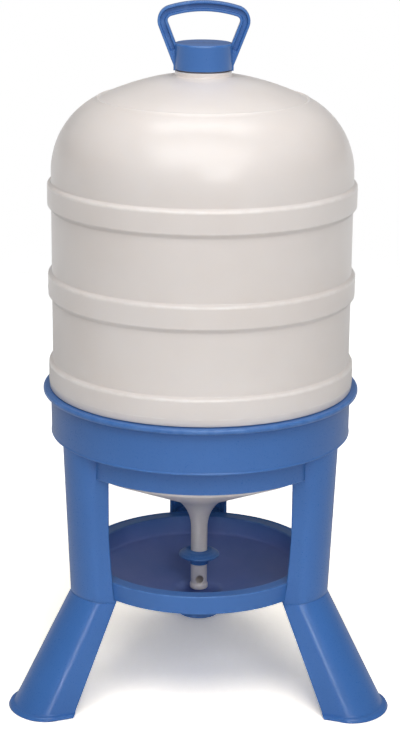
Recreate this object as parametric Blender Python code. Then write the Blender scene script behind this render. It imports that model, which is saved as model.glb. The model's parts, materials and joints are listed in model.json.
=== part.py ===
# Poultry drinker: a siphon water tank that stands in a three-legged frame over a drinking pan.
# Metres, +Z up, floor at z = 0. The tank's axis is vertical, and the frame's three columns stand
# round it at 120 degrees. The front faces -Y, between the left and the right column.

import math

import bmesh
import bpy
from mathutils import Matrix, Vector

# Fits
SKIN_GAP = 0.0003          # between pieces that touch
THREAD_CLEARANCE = 0.0006  # cap thread to neck wall, and neck thread to cap wall
COLLAR_CLEARANCE = 0.0003  # sliding collar to outlet tube, on the radius
TANK_CLEARANCE = 0.0012    # tank foot to ring wall, on the radius
FUNNEL_CLEARANCE = 0.0025  # funnel's upper edge to the columns' inner ends
TONGUE_CLEARANCE = 0.0004  # leg tongue to the inside of its column
CAP_SKIRT_CLEARANCE = 0.0015  # cap's lower edge to the collar at the neck's foot

# Overall sizes: the rest is stacked on these
PAN_RIM_Z = 0.1447         # height of the pan's lip above the floor
PAN_TO_SEAT = 0.1523       # from the pan's lip up to the tank's seat
TANK_RADIUS = 0.1630

# Tank: one blow moulding with the outlet tube, in two solids that meet in the funnel's foot
TANK_WALL = 0.0025
TANK_FOOT_STEP = 0.0025    # the foot in the ring is narrower than the wall
TANK_FOOT_ROUND = 0.0040
BAND_STEP = 0.0042         # how far each band stands out from the wall
BAND_HEIGHT = 0.0276
BAND_PITCH = 0.0982
BAND_BEVEL = 0.0022        # at each band's upper edge; a third of it at the lower edge
BAND_COUNT = 3
LOWEST_BAND_RISE = 0.0525  # lowest band above the seat
SHOULDER_RISE = 0.0095     # straight wall above the top band
SHOULDER_RADIUS = 0.0868
CREASE_INSET = 0.0502      # the ring round the dome, in from the wall
CREASE_DEPTH = 0.0005
DOME_CROWN_RISE = 0.0235   # from the crease to the neck
DOME_CROWN_POWER = 1.55    # how soon the crown levels out towards the neck
FUNNEL_EDGE_DROP = 0.0410  # the funnel's upper edge below the seat
FUNNEL_EDGE_ROUND = 0.0034
FUNNEL_DEPTH = 0.0815      # from the funnel's edge down to where the straight tube starts
FUNNEL_JOINT_DROP = 0.0170 # the funnel is a solid of its own from here down, below the seat
TUBE_JOINT_RISE = 0.0355   # the flare belongs to the outlet tube up to here, above the straight tube

# Outlet tube under the tank
TUBE_RADIUS = 0.0093
TUBE_WALL = 0.0015
TUBE_FLARE_WIDTH = 0.0345  # the tube widens along part of an ellipse until it meets the funnel
TUBE_FLARE_HEIGHT = 0.0405
TUBE_BEAD = 0.0010         # the rim at the tube's end that keeps the collar on
TUBE_BEAD_HEIGHT = 0.0072
TUBE_END_ROUND = 0.0022
OUTLET_HOLE_RADIUS = 0.0046
OUTLET_HOLE_DEPTH = 0.0305 # the hole's centre below the pan's lip, which sets the water level
OUTLET_HOLE_RISE = 0.0129  # the hole's centre above the tube's end
OUTLET_HOLE_TURN = 5.0     # degrees from the front, towards +X

# Filler neck, cap and seal
NECK_RADIUS = 0.0258
NECK_WALL = 0.0028
NECK_HEIGHT = 0.0290
NECK_COLLAR_STEP = 0.0044
NECK_COLLAR_HEIGHT = 0.0056
THREAD_PITCH = 0.0050
THREAD_TURNS = 1.25
THREAD_HEIGHT = 0.0015
THREAD_WIDTH = 0.0020
THREAD_START = 0.0125      # neck thread above the foot of the neck
CAP_WALL = 0.0033
CAP_TOP_WALL = 0.0030
CAP_EDGE_BEVEL = 0.0018
SEAL_THICKNESS = 0.0019
SEAL_OVERHANG = 0.0045     # the seal reaches in past the neck's mouth by this

# Carrying handle, moulded with the cap
HANDLE_RISE = 0.0442       # top of the handle above the top of the cap
HANDLE_REACH = 0.0208      # the handle's corners stand out past the cap's side by this
HANDLE_BAR = 0.0108        # the bar's width seen from the front
HANDLE_THICKNESS = 0.0130  # the bar's size from front to back
HANDLE_RIM = 0.0026        # flanges of the bar's I section
HANDLE_WEB = 0.0036
HANDLE_ARC_RADIUS = 0.1294
HANDLE_CORNER_RADIUS = 0.0160
HANDLE_LEG_LEAN = 21.3     # degrees from the vertical
HANDLE_EAR_HEIGHT = 0.0050 # the upright foot of each handle leg
HANDLE_EAR_DROP = 0.0012   # the ears reach below the cap by this
HANDLE_BAR_STEPS = 10
HANDLE_CORNER_STEPS = 5

# Sliding collar on the outlet tube
COLLAR_WALL = 0.0012
COLLAR_LENGTH = 0.0167
COLLAR_TRAVEL = 0.0230     # from open down to the rim at the tube's end
COLLAR_FLANGE_RADIUS = 0.0233
COLLAR_FLANGE_DROP = 0.0042
COLLAR_FLANGE_POWER = 1.5  # how the flange bends down towards its edge
COLLAR_FLANGE_THICKNESS = 0.0026

# Ring that holds the tank
RING_WALL = 0.0032
RING_HEIGHT = 0.0522       # from the ledge's underside to the top of the lip
RING_LIP_REACH = 0.0084
RING_LIP_HEIGHT = 0.0060
RING_DRAFT = 0.0006        # the ring's wall draws in by this towards its ledge
RING_LEDGE_WALL = 0.0036
RING_LEDGE_STEP = 0.0149   # the skirt below the ledge stands in from the wall by this
RING_EDGE_BEVEL = 0.0015
RING_SKIRT_HEIGHT = 0.0276

# Columns: channels that are open towards the tank's axis
COLUMN_AZIMUTHS = {"back": 90.0, "left": 210.0, "right": 330.0}
COLUMN_WALL = 0.0032
COLUMN_PROUD = 0.0003      # the column's nose past the ring's lower edge
COLUMN_DEPTH = 0.0324
COLUMN_LEAN = 0.0076       # the nose leans in by this from the ring to the joint
COLUMN_SPREAD = 0.0066     # the inner ends reach in to the pan by this
COLUMN_SPREAD_RISE = 0.0638  # above the pan's lip, where that begins
COLUMN_SPREAD_POWER = 1.6
COLUMN_HALF_WIDTH = 0.0344
COLUMN_TAPER = 0.0027      # narrower at the corners than at the inner ends
COLUMN_FLANK = 0.0135
SEAM_DROP = 0.0210         # the joint with the leg below the pan's lip, at the nose
COLUMN_SEAM_SLOPE = 0.15   # the joint drops by this share of the way inwards
PAN_JOIN_RISE = 0.0038     # a section of the column just above the pan's lip

# Drinking pan
PAN_REACH = 0.0079         # the pan's lip past the columns' lower inner ends
PAN_LIP_WIDTH = 0.0150
PAN_WALL = 0.0027
PAN_SKIRT_HEIGHT = 0.0215
PAN_SKIRT_DRAFT = 0.0027
PAN_EDGE_BEVEL = 0.0018
PAN_DEPTH = 0.0219         # from the lip to the edge of the floor
PAN_WALL_LEAN = 0.0017
PAN_FLOOR_FALL = 0.0243    # from the floor's edge to the well
PAN_WELL_RADIUS = 0.0252
PAN_WELL_DEPTH = 0.0265
PAN_WELL_DRAFT = 0.0012

# Legs
LEG_WALL = 0.0032
LEG_SPLAY = 0.596          # the leg's nose moves out by this share of its drop
LEG_INNER_STEP = 0.0031    # the leg's inner ends start inside the column's by this
LEG_INNER_SPREAD = 0.0585  # and move out by this down to the floor
LEG_TOP_WIDENING = 0.0003  # half widths against the column's
LEG_FOOT_WIDENING = 0.0073
LEG_FOOT_CORNER_WIDENING = 0.0066
LEG_FOOT_FLANK = 0.0207
LEG_SHOULDER = 0.04        # share of the leg's height that thickens into the tongue
FOOT_FLANGE = 0.0042       # the sole reaches out past the leg's wall by this
FOOT_FLANGE_END = 0.0008   # and by this at the sole's inner ends
FOOT_FLANGE_HEIGHT = 0.0046
TONGUE_WALL = 0.0028
TONGUE_HEIGHT = 0.0200
TONGUE_SETBACK = 0.0083    # the tongue's flanks end this far outside the column's inner ends

# How finely round shapes are divided
ROUND_SEGMENTS = 48        # tank, ring and pan
SMALL_SEGMENTS = 32
TUBE_SEGMENTS = 24
SECTION_STEPS = 10
FLARE_STEPS = 6
MERGE_DISTANCE = 0.00001   # corners closer than this are one corner

# Heights that follow
TANK_SEAT_Z = PAN_RIM_Z + PAN_TO_SEAT
LOWEST_BAND_Z = TANK_SEAT_Z + LOWEST_BAND_RISE
SHOULDER_Z = LOWEST_BAND_Z + (BAND_COUNT - 1) * BAND_PITCH + BAND_HEIGHT + SHOULDER_RISE
FUNNEL_EDGE_Z = TANK_SEAT_Z - FUNNEL_EDGE_DROP
FUNNEL_JOINT_Z = TANK_SEAT_Z - FUNNEL_JOINT_DROP
TUBE_TOP_Z = FUNNEL_EDGE_Z - FUNNEL_DEPTH
TUBE_JOINT_Z = TUBE_TOP_Z + TUBE_JOINT_RISE
OUTLET_HOLE_Z = PAN_RIM_Z - OUTLET_HOLE_DEPTH
TUBE_END_Z = OUTLET_HOLE_Z - OUTLET_HOLE_RISE
COLLAR_BOTTOM_Z = TUBE_END_Z + TUBE_BEAD_HEIGHT + COLLAR_TRAVEL
RING_LEDGE_TOP_Z = TANK_SEAT_Z - SKIN_GAP
RING_LEDGE_Z = RING_LEDGE_TOP_Z - RING_LEDGE_WALL
RING_TOP_Z = RING_LEDGE_Z + RING_HEIGHT
RING_BOTTOM_Z = RING_LEDGE_Z - RING_SKIRT_HEIGHT
COLUMN_TOP_Z = RING_LEDGE_Z - SKIN_GAP
COLUMN_SPREAD_Z = PAN_RIM_Z + COLUMN_SPREAD_RISE
COLUMN_SEAM_Z = PAN_RIM_Z - SEAM_DROP
PAN_JOIN_Z = PAN_RIM_Z + PAN_JOIN_RISE
PAN_FLOOR_EDGE_Z = PAN_RIM_Z - PAN_DEPTH
PAN_WELL_EDGE_Z = PAN_FLOOR_EDGE_Z - PAN_FLOOR_FALL
PAN_WELL_BOTTOM_Z = PAN_WELL_EDGE_Z - PAN_WELL_DEPTH
TONGUE_TOP_Z = COLUMN_SEAM_Z + TONGUE_HEIGHT

# Radii that follow
TANK_FOOT_RADIUS = TANK_RADIUS - TANK_FOOT_STEP
RING_FOOT_RADIUS = TANK_FOOT_RADIUS + TANK_CLEARANCE + RING_WALL
RING_RADIUS = RING_FOOT_RADIUS + RING_DRAFT
RING_LIP_RADIUS = RING_RADIUS + RING_LIP_REACH
RING_SKIRT_RADIUS = RING_FOOT_RADIUS - RING_LEDGE_STEP
COLUMN_OUTER_TOP = RING_FOOT_RADIUS + COLUMN_PROUD
COLUMN_OUTER_BOTTOM = COLUMN_OUTER_TOP - COLUMN_LEAN
COLUMN_INNER_UPPER = COLUMN_OUTER_TOP - COLUMN_DEPTH
COLUMN_INNER_LOWER = COLUMN_INNER_UPPER - COLUMN_SPREAD
COLUMN_CORNER_HALF_WIDTH = COLUMN_HALF_WIDTH - COLUMN_TAPER
FUNNEL_TOP_RADIUS = math.hypot(COLUMN_INNER_UPPER, COLUMN_HALF_WIDTH) - FUNNEL_CLEARANCE
PAN_RADIUS = COLUMN_INNER_LOWER + PAN_REACH
PAN_FLOOR_RADIUS = PAN_RADIUS - PAN_LIP_WIDTH - PAN_WALL_LEAN
LEG_INNER_TOP = COLUMN_INNER_LOWER - LEG_INNER_STEP
LEG_INNER_FOOT = LEG_INNER_TOP + LEG_INNER_SPREAD
LEG_TOP_HALF_WIDTH = COLUMN_HALF_WIDTH + LEG_TOP_WIDENING
LEG_FOOT_HALF_WIDTH = COLUMN_HALF_WIDTH + LEG_FOOT_WIDENING
LEG_FOOT_CORNER_HALF_WIDTH = COLUMN_CORNER_HALF_WIDTH + LEG_FOOT_CORNER_WIDENING
TONGUE_INNER = COLUMN_INNER_LOWER + TONGUE_SETBACK
COLLAR_BORE_RADIUS = TUBE_RADIUS + COLLAR_CLEARANCE
NECK_BORE_RADIUS = NECK_RADIUS - NECK_WALL
NECK_COLLAR_RADIUS = NECK_RADIUS + NECK_COLLAR_STEP
CAP_BORE_RADIUS = NECK_RADIUS + THREAD_HEIGHT + THREAD_CLEARANCE
CAP_RADIUS = CAP_BORE_RADIUS + CAP_WALL
SEAL_BORE_RADIUS = NECK_BORE_RADIUS - SEAL_OVERHANG
HANDLE_CORNER_X = CAP_RADIUS + HANDLE_REACH

# Dome, neck and cap
CREASE_RADIUS = TANK_RADIUS - CREASE_INSET
SHOULDER_CENTRE_RADIUS = TANK_RADIUS - SHOULDER_RADIUS
CREASE_Z = SHOULDER_Z + math.sqrt(
    SHOULDER_RADIUS**2 - (CREASE_RADIUS - SHOULDER_CENTRE_RADIUS) ** 2
)
NECK_FOOT_Z = CREASE_Z + DOME_CROWN_RISE
NECK_TOP_Z = NECK_FOOT_Z + NECK_HEIGHT
CAP_TOP_Z = NECK_TOP_Z + SEAL_THICKNESS + 2 * SKIN_GAP + CAP_TOP_WALL
CAP_BOTTOM_Z = NECK_FOOT_Z + NECK_COLLAR_HEIGHT + CAP_SKIRT_CLEARANCE

BLUE = (0.060, 0.185, 0.470, 1.0)
MILKY = (0.790, 0.765, 0.740, 1.0)
BLACK = (0.020, 0.020, 0.022, 1.0)


def clear_scene():
    for thing in list(bpy.data.objects):
        bpy.data.objects.remove(thing, do_unlink=True)


def plastic(name, colour, roughness):
    material = bpy.data.materials.new(name)
    material.use_nodes = True
    shader = material.node_tree.nodes["Principled BSDF"]
    shader.inputs["Base Color"].default_value = colour
    shader.inputs["Roughness"].default_value = roughness
    shader.inputs["Metallic"].default_value = 0.0
    return material


def add_object(name, mesh, parent=None):
    thing = bpy.data.objects.new(name, mesh)
    bpy.context.scene.collection.objects.link(thing)
    thing.parent = parent
    return thing


def finish_mesh(name, work):
    """Turns a bmesh into a mesh with outward faces, smooth but for its sharp edges."""
    bmesh.ops.recalc_face_normals(work, faces=work.faces)
    mesh = bpy.data.meshes.new(name)
    work.to_mesh(mesh)
    work.free()
    mesh.shade_smooth()
    mesh.set_sharp_from_angle(angle=math.radians(30))
    return mesh


def turned_mesh(name, profile, segments):
    """Spins a closed outline of (radius, z) points about the Z axis."""
    work = bmesh.new()
    corners = [work.verts.new((radius, 0.0, z)) for radius, z in profile]
    edges = []
    for start, end in zip(corners, corners[1:] + corners[:1]):
        if start.co.x > 0 or end.co.x > 0:
            edges.append(work.edges.new((start, end)))
    bmesh.ops.spin(
        work,
        geom=corners + edges,
        cent=(0, 0, 0),
        axis=(0, 0, 1),
        angle=2 * math.pi,
        steps=segments,
        use_merge=True,
    )
    bmesh.ops.remove_doubles(work, verts=work.verts, dist=MERGE_DISTANCE)
    return finish_mesh(name, work)


def lofted_mesh(name, rings):
    """Skins closed rings of points, which all have the same count, and caps both ends."""
    work = bmesh.new()
    loops = [[work.verts.new(point) for point in ring] for ring in rings]
    for lower, upper in zip(loops, loops[1:]):
        for index in range(len(lower)):
            following = (index + 1) % len(lower)
            work.faces.new((lower[index], lower[following], upper[following], upper[index]))
    work.faces.new(loops[0][::-1])
    work.faces.new(loops[-1])
    bmesh.ops.remove_doubles(work, verts=work.verts, dist=MERGE_DISTANCE)
    bmesh.ops.triangulate(work, faces=work.faces)
    return finish_mesh(name, work)


def arc(centre_radius, centre_z, radius, start, end, steps):
    """Points of an arc in the (radius, z) plane, between two angles in degrees."""
    points = []
    for step in range(steps + 1):
        angle = math.radians(start + (end - start) * step / steps)
        points.append((centre_radius + radius * math.cos(angle), centre_z + radius * math.sin(angle)))
    return points


def offset_outline(points, distance):
    """Moves an open (radius, z) outline to its left by a distance, with mitred corners."""
    moved = []
    for index, point in enumerate(points):
        here = Vector(point)
        before = here - Vector(points[max(index - 1, 0)])
        after = Vector(points[min(index + 1, len(points) - 1)]) - here
        before = before if before.length > 0 else after
        after = after if after.length > 0 else before
        first = Vector((-before.y, before.x)).normalized()
        second = Vector((-after.y, after.x)).normalized()
        mitre = (first + second).normalized()
        here = here + mitre * distance / max(mitre.dot(first), 0.5)
        moved.append((max(here.x, 0.0), here.y))
    return moved


def apply_boolean(thing, cutter, operation):
    """Joins or cuts with another object, keeps the result as the mesh, and drops the other."""
    change = thing.modifiers.new(operation.title(), "BOOLEAN")
    change.operation = operation
    change.solver = "EXACT"
    change.object = cutter
    bpy.context.view_layer.update()
    evaluated = thing.evaluated_get(bpy.context.evaluated_depsgraph_get())
    result = bpy.data.meshes.new_from_object(evaluated)
    thing.modifiers.remove(change)
    work = bmesh.new()
    work.from_mesh(result)
    bmesh.ops.remove_doubles(work, verts=work.verts, dist=MERGE_DISTANCE)
    thing.data = finish_mesh(thing.name, work)
    bpy.data.meshes.remove(result)
    bpy.data.objects.remove(cutter, do_unlink=True)


def finish_piece(thing, parent, material):
    thing.parent = parent
    thing.data.materials.clear()
    thing.data.materials.append(material)


def helix_mesh(name, root_radius, crest_radius, start_z, phase):
    """A thread ridge with flanks that slope from its root to its crest and tapered ends."""
    steps = int(THREAD_TURNS * SMALL_SEGMENTS)
    rings = []
    for step in range(steps + 1):
        angle = phase + 2 * math.pi * step / SMALL_SEGMENTS
        fade = min(1.0, step / 3 + 0.2, (steps - step) / 3 + 0.2)
        crest = root_radius + (crest_radius - root_radius) * fade
        z = start_z + THREAD_PITCH * step / SMALL_SEGMENTS
        around = Vector((math.cos(angle), math.sin(angle), 0))
        half_root = THREAD_WIDTH / 2
        half_crest = THREAD_WIDTH / 4
        corners = [
            (root_radius, -half_root),
            (crest, -half_crest),
            (crest, half_crest),
            (root_radius, half_root),
        ]
        rings.append([around * radius + Vector((0, 0, z + rise)) for radius, rise in corners])
    return lofted_mesh(name, rings)


def flare_end_angle():
    """Where the flare's ellipse meets the funnel, a straight line down from its upper edge."""
    rise = FUNNEL_EDGE_Z - TUBE_TOP_Z
    run = FUNNEL_TOP_RADIUS - FUNNEL_EDGE_ROUND - TUBE_RADIUS - TUBE_FLARE_WIDTH
    spread = run**2 - TUBE_FLARE_WIDTH**2
    room = (rise * run) ** 2 - spread * (rise**2 - TUBE_FLARE_HEIGHT**2)
    slope = (rise * run - math.sqrt(room)) / spread
    return math.atan2(TUBE_FLARE_HEIGHT, TUBE_FLARE_WIDTH * slope)


def flare_outline():
    """The outlet tube widening up to the funnel's foot."""
    last_angle = flare_end_angle()
    points = []
    for step in range(FLARE_STEPS + 1):
        angle = last_angle * step / FLARE_STEPS
        radius = TUBE_RADIUS + TUBE_FLARE_WIDTH * (1 - math.cos(angle))
        points.append((radius, TUBE_TOP_Z + TUBE_FLARE_HEIGHT * math.sin(angle)))
    return points


def funnel_outline():
    """The straight funnel from its foot, the flare's last point, to its upper edge."""
    edge = (FUNNEL_TOP_RADIUS - FUNNEL_EDGE_ROUND, FUNNEL_EDGE_Z)
    return [flare_outline()[-1], edge, (FUNNEL_TOP_RADIUS, FUNNEL_EDGE_Z + FUNNEL_EDGE_ROUND)]


def tank_wall_outline():
    """The tank's outer outline from the funnel's foot up to the foot of the neck."""
    foot_corner = TANK_FOOT_ROUND
    points = funnel_outline()
    points.append((FUNNEL_TOP_RADIUS, TANK_SEAT_Z))
    points += arc(
        TANK_FOOT_RADIUS - foot_corner, TANK_SEAT_Z + foot_corner, foot_corner, -90, 0, 3
    )
    for band in range(BAND_COUNT):
        bottom = LOWEST_BAND_Z + band * BAND_PITCH
        top = bottom + BAND_HEIGHT
        below = TANK_FOOT_RADIUS if band == 0 else TANK_RADIUS
        points += [
            (below, bottom),
            (TANK_RADIUS + BAND_STEP, bottom + BAND_BEVEL / 3),
            (TANK_RADIUS + BAND_STEP, top - BAND_BEVEL),
            (TANK_RADIUS, top),
        ]
    crease_angle = math.degrees(
        math.atan2(CREASE_Z - SHOULDER_Z, CREASE_RADIUS - SHOULDER_CENTRE_RADIUS)
    )
    points += arc(SHOULDER_CENTRE_RADIUS, SHOULDER_Z, SHOULDER_RADIUS, 0, crease_angle, 8)
    return points + crown_outline()


def crown_outline():
    """The shallow crown between the dome's crease and the foot of the neck."""
    span = CREASE_RADIUS - NECK_COLLAR_RADIUS
    steps = 5
    points = []
    for step in range(1, steps + 1):
        share = step / steps
        rise = DOME_CROWN_RISE * (1 - (1 - share) ** DOME_CROWN_POWER)
        points.append((CREASE_RADIUS - span * share, CREASE_Z - CREASE_DEPTH * (1 - share) + rise))
    return points


def tube_outlines():
    """The outlet tube from its closed end up to its flare, as an outer and an inner outline."""
    bead_top = TUBE_END_Z + TUBE_BEAD_HEIGHT
    end_round = TUBE_END_ROUND
    outer = [(0.0, TUBE_END_Z)]
    outer += arc(TUBE_RADIUS + TUBE_BEAD - end_round, TUBE_END_Z + end_round, end_round, -90, 0, 3)
    outer += [(TUBE_RADIUS + TUBE_BEAD, bead_top - TUBE_BEAD), (TUBE_RADIUS, bead_top)]
    flare = flare_outline()[:-1]
    inner = [(0.0, TUBE_END_Z + TUBE_WALL), (TUBE_RADIUS - TUBE_WALL, TUBE_END_Z + TUBE_WALL)]
    return outer + flare, inner + offset_outline(flare, TUBE_WALL)


def tank_outlines():
    """The whole moulding, from the tube's end to the neck, as an outer and an inner outline."""
    outer_tube, inner_tube = tube_outlines()
    body = tank_wall_outline()
    outer_neck = [
        (NECK_COLLAR_RADIUS, NECK_FOOT_Z + NECK_COLLAR_HEIGHT),
        (NECK_RADIUS, NECK_FOOT_Z + NECK_COLLAR_HEIGHT),
        (NECK_RADIUS, NECK_TOP_Z),
    ]
    inner_neck = [(NECK_BORE_RADIUS, NECK_FOOT_Z - TANK_WALL), (NECK_BORE_RADIUS, NECK_TOP_Z)]
    inner_body = offset_outline(body, TANK_WALL)[1:-1]
    return outer_tube + body + outer_neck, inner_tube + inner_body + inner_neck


def split_outline(points, z):
    """Splits an outline where it first rises through a height; both parts get a point there."""
    for index, (start, end) in enumerate(zip(points, points[1:])):
        if start[1] < z <= end[1]:
            share = (z - start[1]) / (end[1] - start[1])
            cut = (start[0] + (end[0] - start[0]) * share, z)
            return points[: index + 1] + [cut], [cut] + points[index + 1 :]
    raise ValueError("the outline does not reach the height %.4f" % z)


def tank_section(bottom=None, top=None):
    """The closed outline of the moulding's wall between two joints, or to its end without one."""
    outlines = []
    for points in tank_outlines():
        if top is not None:
            points = split_outline(points, top)[0]
        if bottom is not None:
            points = split_outline(points, bottom)[1]
        outlines.append(points)
    outer, inner = outlines
    return outer + inner[::-1]


def build_tank(parent, material):
    outline = tank_section(bottom=FUNNEL_JOINT_Z)
    thing = add_object("tank", turned_mesh("tank", outline, ROUND_SEGMENTS))
    ridge = helix_mesh(
        "neck thread",
        NECK_RADIUS - NECK_WALL / 3,
        NECK_RADIUS + THREAD_HEIGHT,
        NECK_FOOT_Z + THREAD_START,
        0.0,
    )
    apply_boolean(thing, add_object("neck thread", ridge), "UNION")
    finish_piece(thing, parent, material)


def build_tank_funnel(parent, material):
    outline = tank_section(bottom=TUBE_JOINT_Z, top=FUNNEL_JOINT_Z - SKIN_GAP)
    thing = add_object("tank_funnel", turned_mesh("tank_funnel", outline, ROUND_SEGMENTS))
    finish_piece(thing, parent, material)


def build_outlet_tube(parent, material):
    """The tank's spout: a flared tube, closed at its end, with a hole in its side."""
    outline = tank_section(top=TUBE_JOINT_Z - SKIN_GAP)
    thing = add_object("outlet_tube", turned_mesh("outlet_tube", outline, TUBE_SEGMENTS))
    drill = bmesh.new()
    reach = 2 * TUBE_RADIUS
    bmesh.ops.create_cone(
        drill,
        cap_ends=True,
        segments=16,
        radius1=OUTLET_HOLE_RADIUS,
        radius2=OUTLET_HOLE_RADIUS,
        depth=reach,
        matrix=Matrix.Translation((0, -reach / 2, OUTLET_HOLE_Z))
        @ Matrix.Rotation(math.pi / 2, 4, "X"),
    )
    cutter = add_object("outlet drill", finish_mesh("outlet drill", drill))
    cutter.rotation_euler.z = math.radians(OUTLET_HOLE_TURN)
    apply_boolean(thing, cutter, "DIFFERENCE")
    finish_piece(thing, parent, material)


def handle_path():
    """Centre line of the handle's bar in the XZ plane, with the outward normal at each point."""
    half = HANDLE_BAR / 2
    top = CAP_TOP_Z + HANDLE_RISE
    arc_centre = top - HANDLE_ARC_RADIUS
    lean = math.radians(HANDLE_LEG_LEAN)
    corner_angle = math.asin(HANDLE_CORNER_X / HANDLE_ARC_RADIUS)
    corner_z = arc_centre + HANDLE_ARC_RADIUS * math.cos(corner_angle)
    # the outer corner's round is tangent to the top arc's chord and to the leg's outer line
    turn = math.pi / 2 + lean - corner_angle
    setback = HANDLE_CORNER_RADIUS * math.tan(turn / 2)
    along_top = corner_angle - setback / HANDLE_ARC_RADIUS
    path = []
    for step in range(HANDLE_BAR_STEPS + 1):
        angle = along_top * (2 * step / HANDLE_BAR_STEPS - 1)
        outward = Vector((math.sin(angle), 0, math.cos(angle)))
        path.append((Vector((0, 0, arc_centre)) + outward * (HANDLE_ARC_RADIUS - half), outward))
    end_point, end_normal = path[-1]
    round_centre = end_point + end_normal * (half - HANDLE_CORNER_RADIUS)
    final_angle = math.pi / 2 + lean
    right = []
    for step in range(1, HANDLE_CORNER_STEPS + 1):
        angle = along_top + (final_angle - along_top) * step / HANDLE_CORNER_STEPS
        outward = Vector((math.sin(angle), 0, math.cos(angle)))
        right.append((round_centre + outward * (HANDLE_CORNER_RADIUS - half), outward))
    last_point, last_normal = right[-1]
    down = Vector((-math.sin(lean), 0, -math.cos(lean)))
    ear_top = CAP_BOTTOM_Z + HANDLE_EAR_HEIGHT
    ear_foot = CAP_BOTTOM_Z - HANDLE_EAR_DROP
    ear_point = last_point + down * (last_point.z - ear_top) / math.cos(lean)
    ear_normal = Vector((math.cos(lean / 2), 0, -math.sin(lean / 2))) / math.cos(lean / 2)
    right.append((ear_point, ear_normal))
    right.append((Vector((ear_point.x, 0, ear_foot)), Vector((1, 0, 0))))
    left = []
    for point, normal in right[::-1]:
        left.append((Vector((-point.x, 0, point.z)), Vector((-normal.x, 0, normal.z))))
    return left + path + right


def handle_mesh():
    """The handle's bar: an I section swept along its path."""
    half = HANDLE_BAR / 2
    face = HANDLE_THICKNESS / 2
    web = HANDLE_WEB / 2
    inner = half - HANDLE_RIM
    section = [
        (-half, -face), (-inner, -face), (-inner, -web), (inner, -web), (inner, -face), (half, -face),
        (half, face), (inner, face), (inner, web), (-inner, web), (-inner, face), (-half, face),
    ]
    rings = []
    for point, outward in handle_path():
        rings.append([point + outward * rise + Vector((0, depth, 0)) for rise, depth in section])
    return lofted_mesh("handle", rings)


def build_filler_cap(parent, material):
    """The screw cap with its carrying handle."""
    bevel = CAP_EDGE_BEVEL
    outline = [
        (0.0, CAP_BOTTOM_Z),
        (CAP_RADIUS, CAP_BOTTOM_Z),
        (CAP_RADIUS, CAP_TOP_Z - bevel),
        (CAP_RADIUS - bevel * 0.3, CAP_TOP_Z - bevel * 0.3),
        (CAP_RADIUS - bevel, CAP_TOP_Z),
        (0.0, CAP_TOP_Z),
    ]
    thing = add_object("filler_cap", turned_mesh("filler_cap", outline, SMALL_SEGMENTS))
    apply_boolean(thing, add_object("handle", handle_mesh()), "UNION")
    bore = [
        (0.0, CAP_BOTTOM_Z - CAP_TOP_WALL),
        (CAP_BORE_RADIUS, CAP_BOTTOM_Z - CAP_TOP_WALL),
        (CAP_BORE_RADIUS, CAP_TOP_Z - CAP_TOP_WALL),
        (0.0, CAP_TOP_Z - CAP_TOP_WALL),
    ]
    apply_boolean(thing, add_object("bore", turned_mesh("bore", bore, SMALL_SEGMENTS)), "DIFFERENCE")
    ridge = helix_mesh(
        "cap thread",
        CAP_BORE_RADIUS + (CAP_RADIUS - CAP_BORE_RADIUS) / 3,
        NECK_RADIUS + THREAD_CLEARANCE,
        NECK_FOOT_Z + THREAD_START - THREAD_PITCH / 2,
        0.0,
    )
    apply_boolean(thing, add_object("cap thread", ridge), "UNION")
    finish_piece(thing, parent, material)


def build_cap_seal(parent, material):
    """The flat rubber ring that makes the cap airtight on the neck's rim."""
    bottom = NECK_TOP_Z + SKIN_GAP
    outer = CAP_BORE_RADIUS - THREAD_CLEARANCE
    outline = [
        (SEAL_BORE_RADIUS, bottom),
        (outer, bottom),
        (outer, bottom + SEAL_THICKNESS),
        (SEAL_BORE_RADIUS, bottom + SEAL_THICKNESS),
    ]
    thing = add_object("cap_seal", turned_mesh("cap_seal", outline, SMALL_SEGMENTS))
    finish_piece(thing, parent, material)


def build_valve_collar(parent, material):
    """The sleeve that slides down the outlet tube over its hole, with a grip flange."""
    outer = COLLAR_BORE_RADIUS + COLLAR_WALL
    top = COLLAR_BOTTOM_Z + COLLAR_LENGTH
    flange_run = COLLAR_FLANGE_RADIUS - outer
    steps = 4
    under = []
    over = []
    for step in range(steps + 1):
        share = step / steps
        radius = outer + flange_run * share
        drop = COLLAR_FLANGE_DROP * share**COLLAR_FLANGE_POWER
        over.append((radius, top - drop))
        under.append((radius, top - COLLAR_FLANGE_THICKNESS - drop))
    outline = [(COLLAR_BORE_RADIUS, COLLAR_BOTTOM_Z), (outer, COLLAR_BOTTOM_Z)]
    outline += under + over[::-1] + [(COLLAR_BORE_RADIUS, top)]
    thing = add_object("valve_collar", turned_mesh("valve_collar", outline, TUBE_SEGMENTS))
    finish_piece(thing, parent, material)


def ring_outline():
    """The ring that holds the tank: rolled lip, wall, ledge and short skirt."""
    inner = RING_RADIUS - RING_DRAFT - RING_WALL
    lip_middle = RING_TOP_Z - RING_LIP_HEIGHT / 2
    lip_round = RING_LIP_HEIGHT / 2
    bevel = RING_EDGE_BEVEL
    wall_foot = RING_RADIUS - RING_DRAFT
    skirt_inner = RING_SKIRT_RADIUS - RING_WALL
    points = [
        (skirt_inner, RING_BOTTOM_Z),
        (RING_SKIRT_RADIUS, RING_BOTTOM_Z),
        (RING_SKIRT_RADIUS, RING_LEDGE_Z),
        (wall_foot - bevel, RING_LEDGE_Z),
        (wall_foot, RING_LEDGE_Z + bevel),
        (RING_RADIUS, RING_TOP_Z - RING_LIP_HEIGHT),
        (RING_LIP_RADIUS - lip_round, RING_TOP_Z - RING_LIP_HEIGHT),
    ]
    points += arc(RING_LIP_RADIUS - lip_round, lip_middle, lip_round, -60, 90, 5)
    points += [
        (inner + bevel, RING_TOP_Z),
        (inner, RING_TOP_Z - bevel),
        (inner, RING_LEDGE_TOP_Z),
        (skirt_inner, RING_LEDGE_TOP_Z),
    ]
    return points


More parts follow.
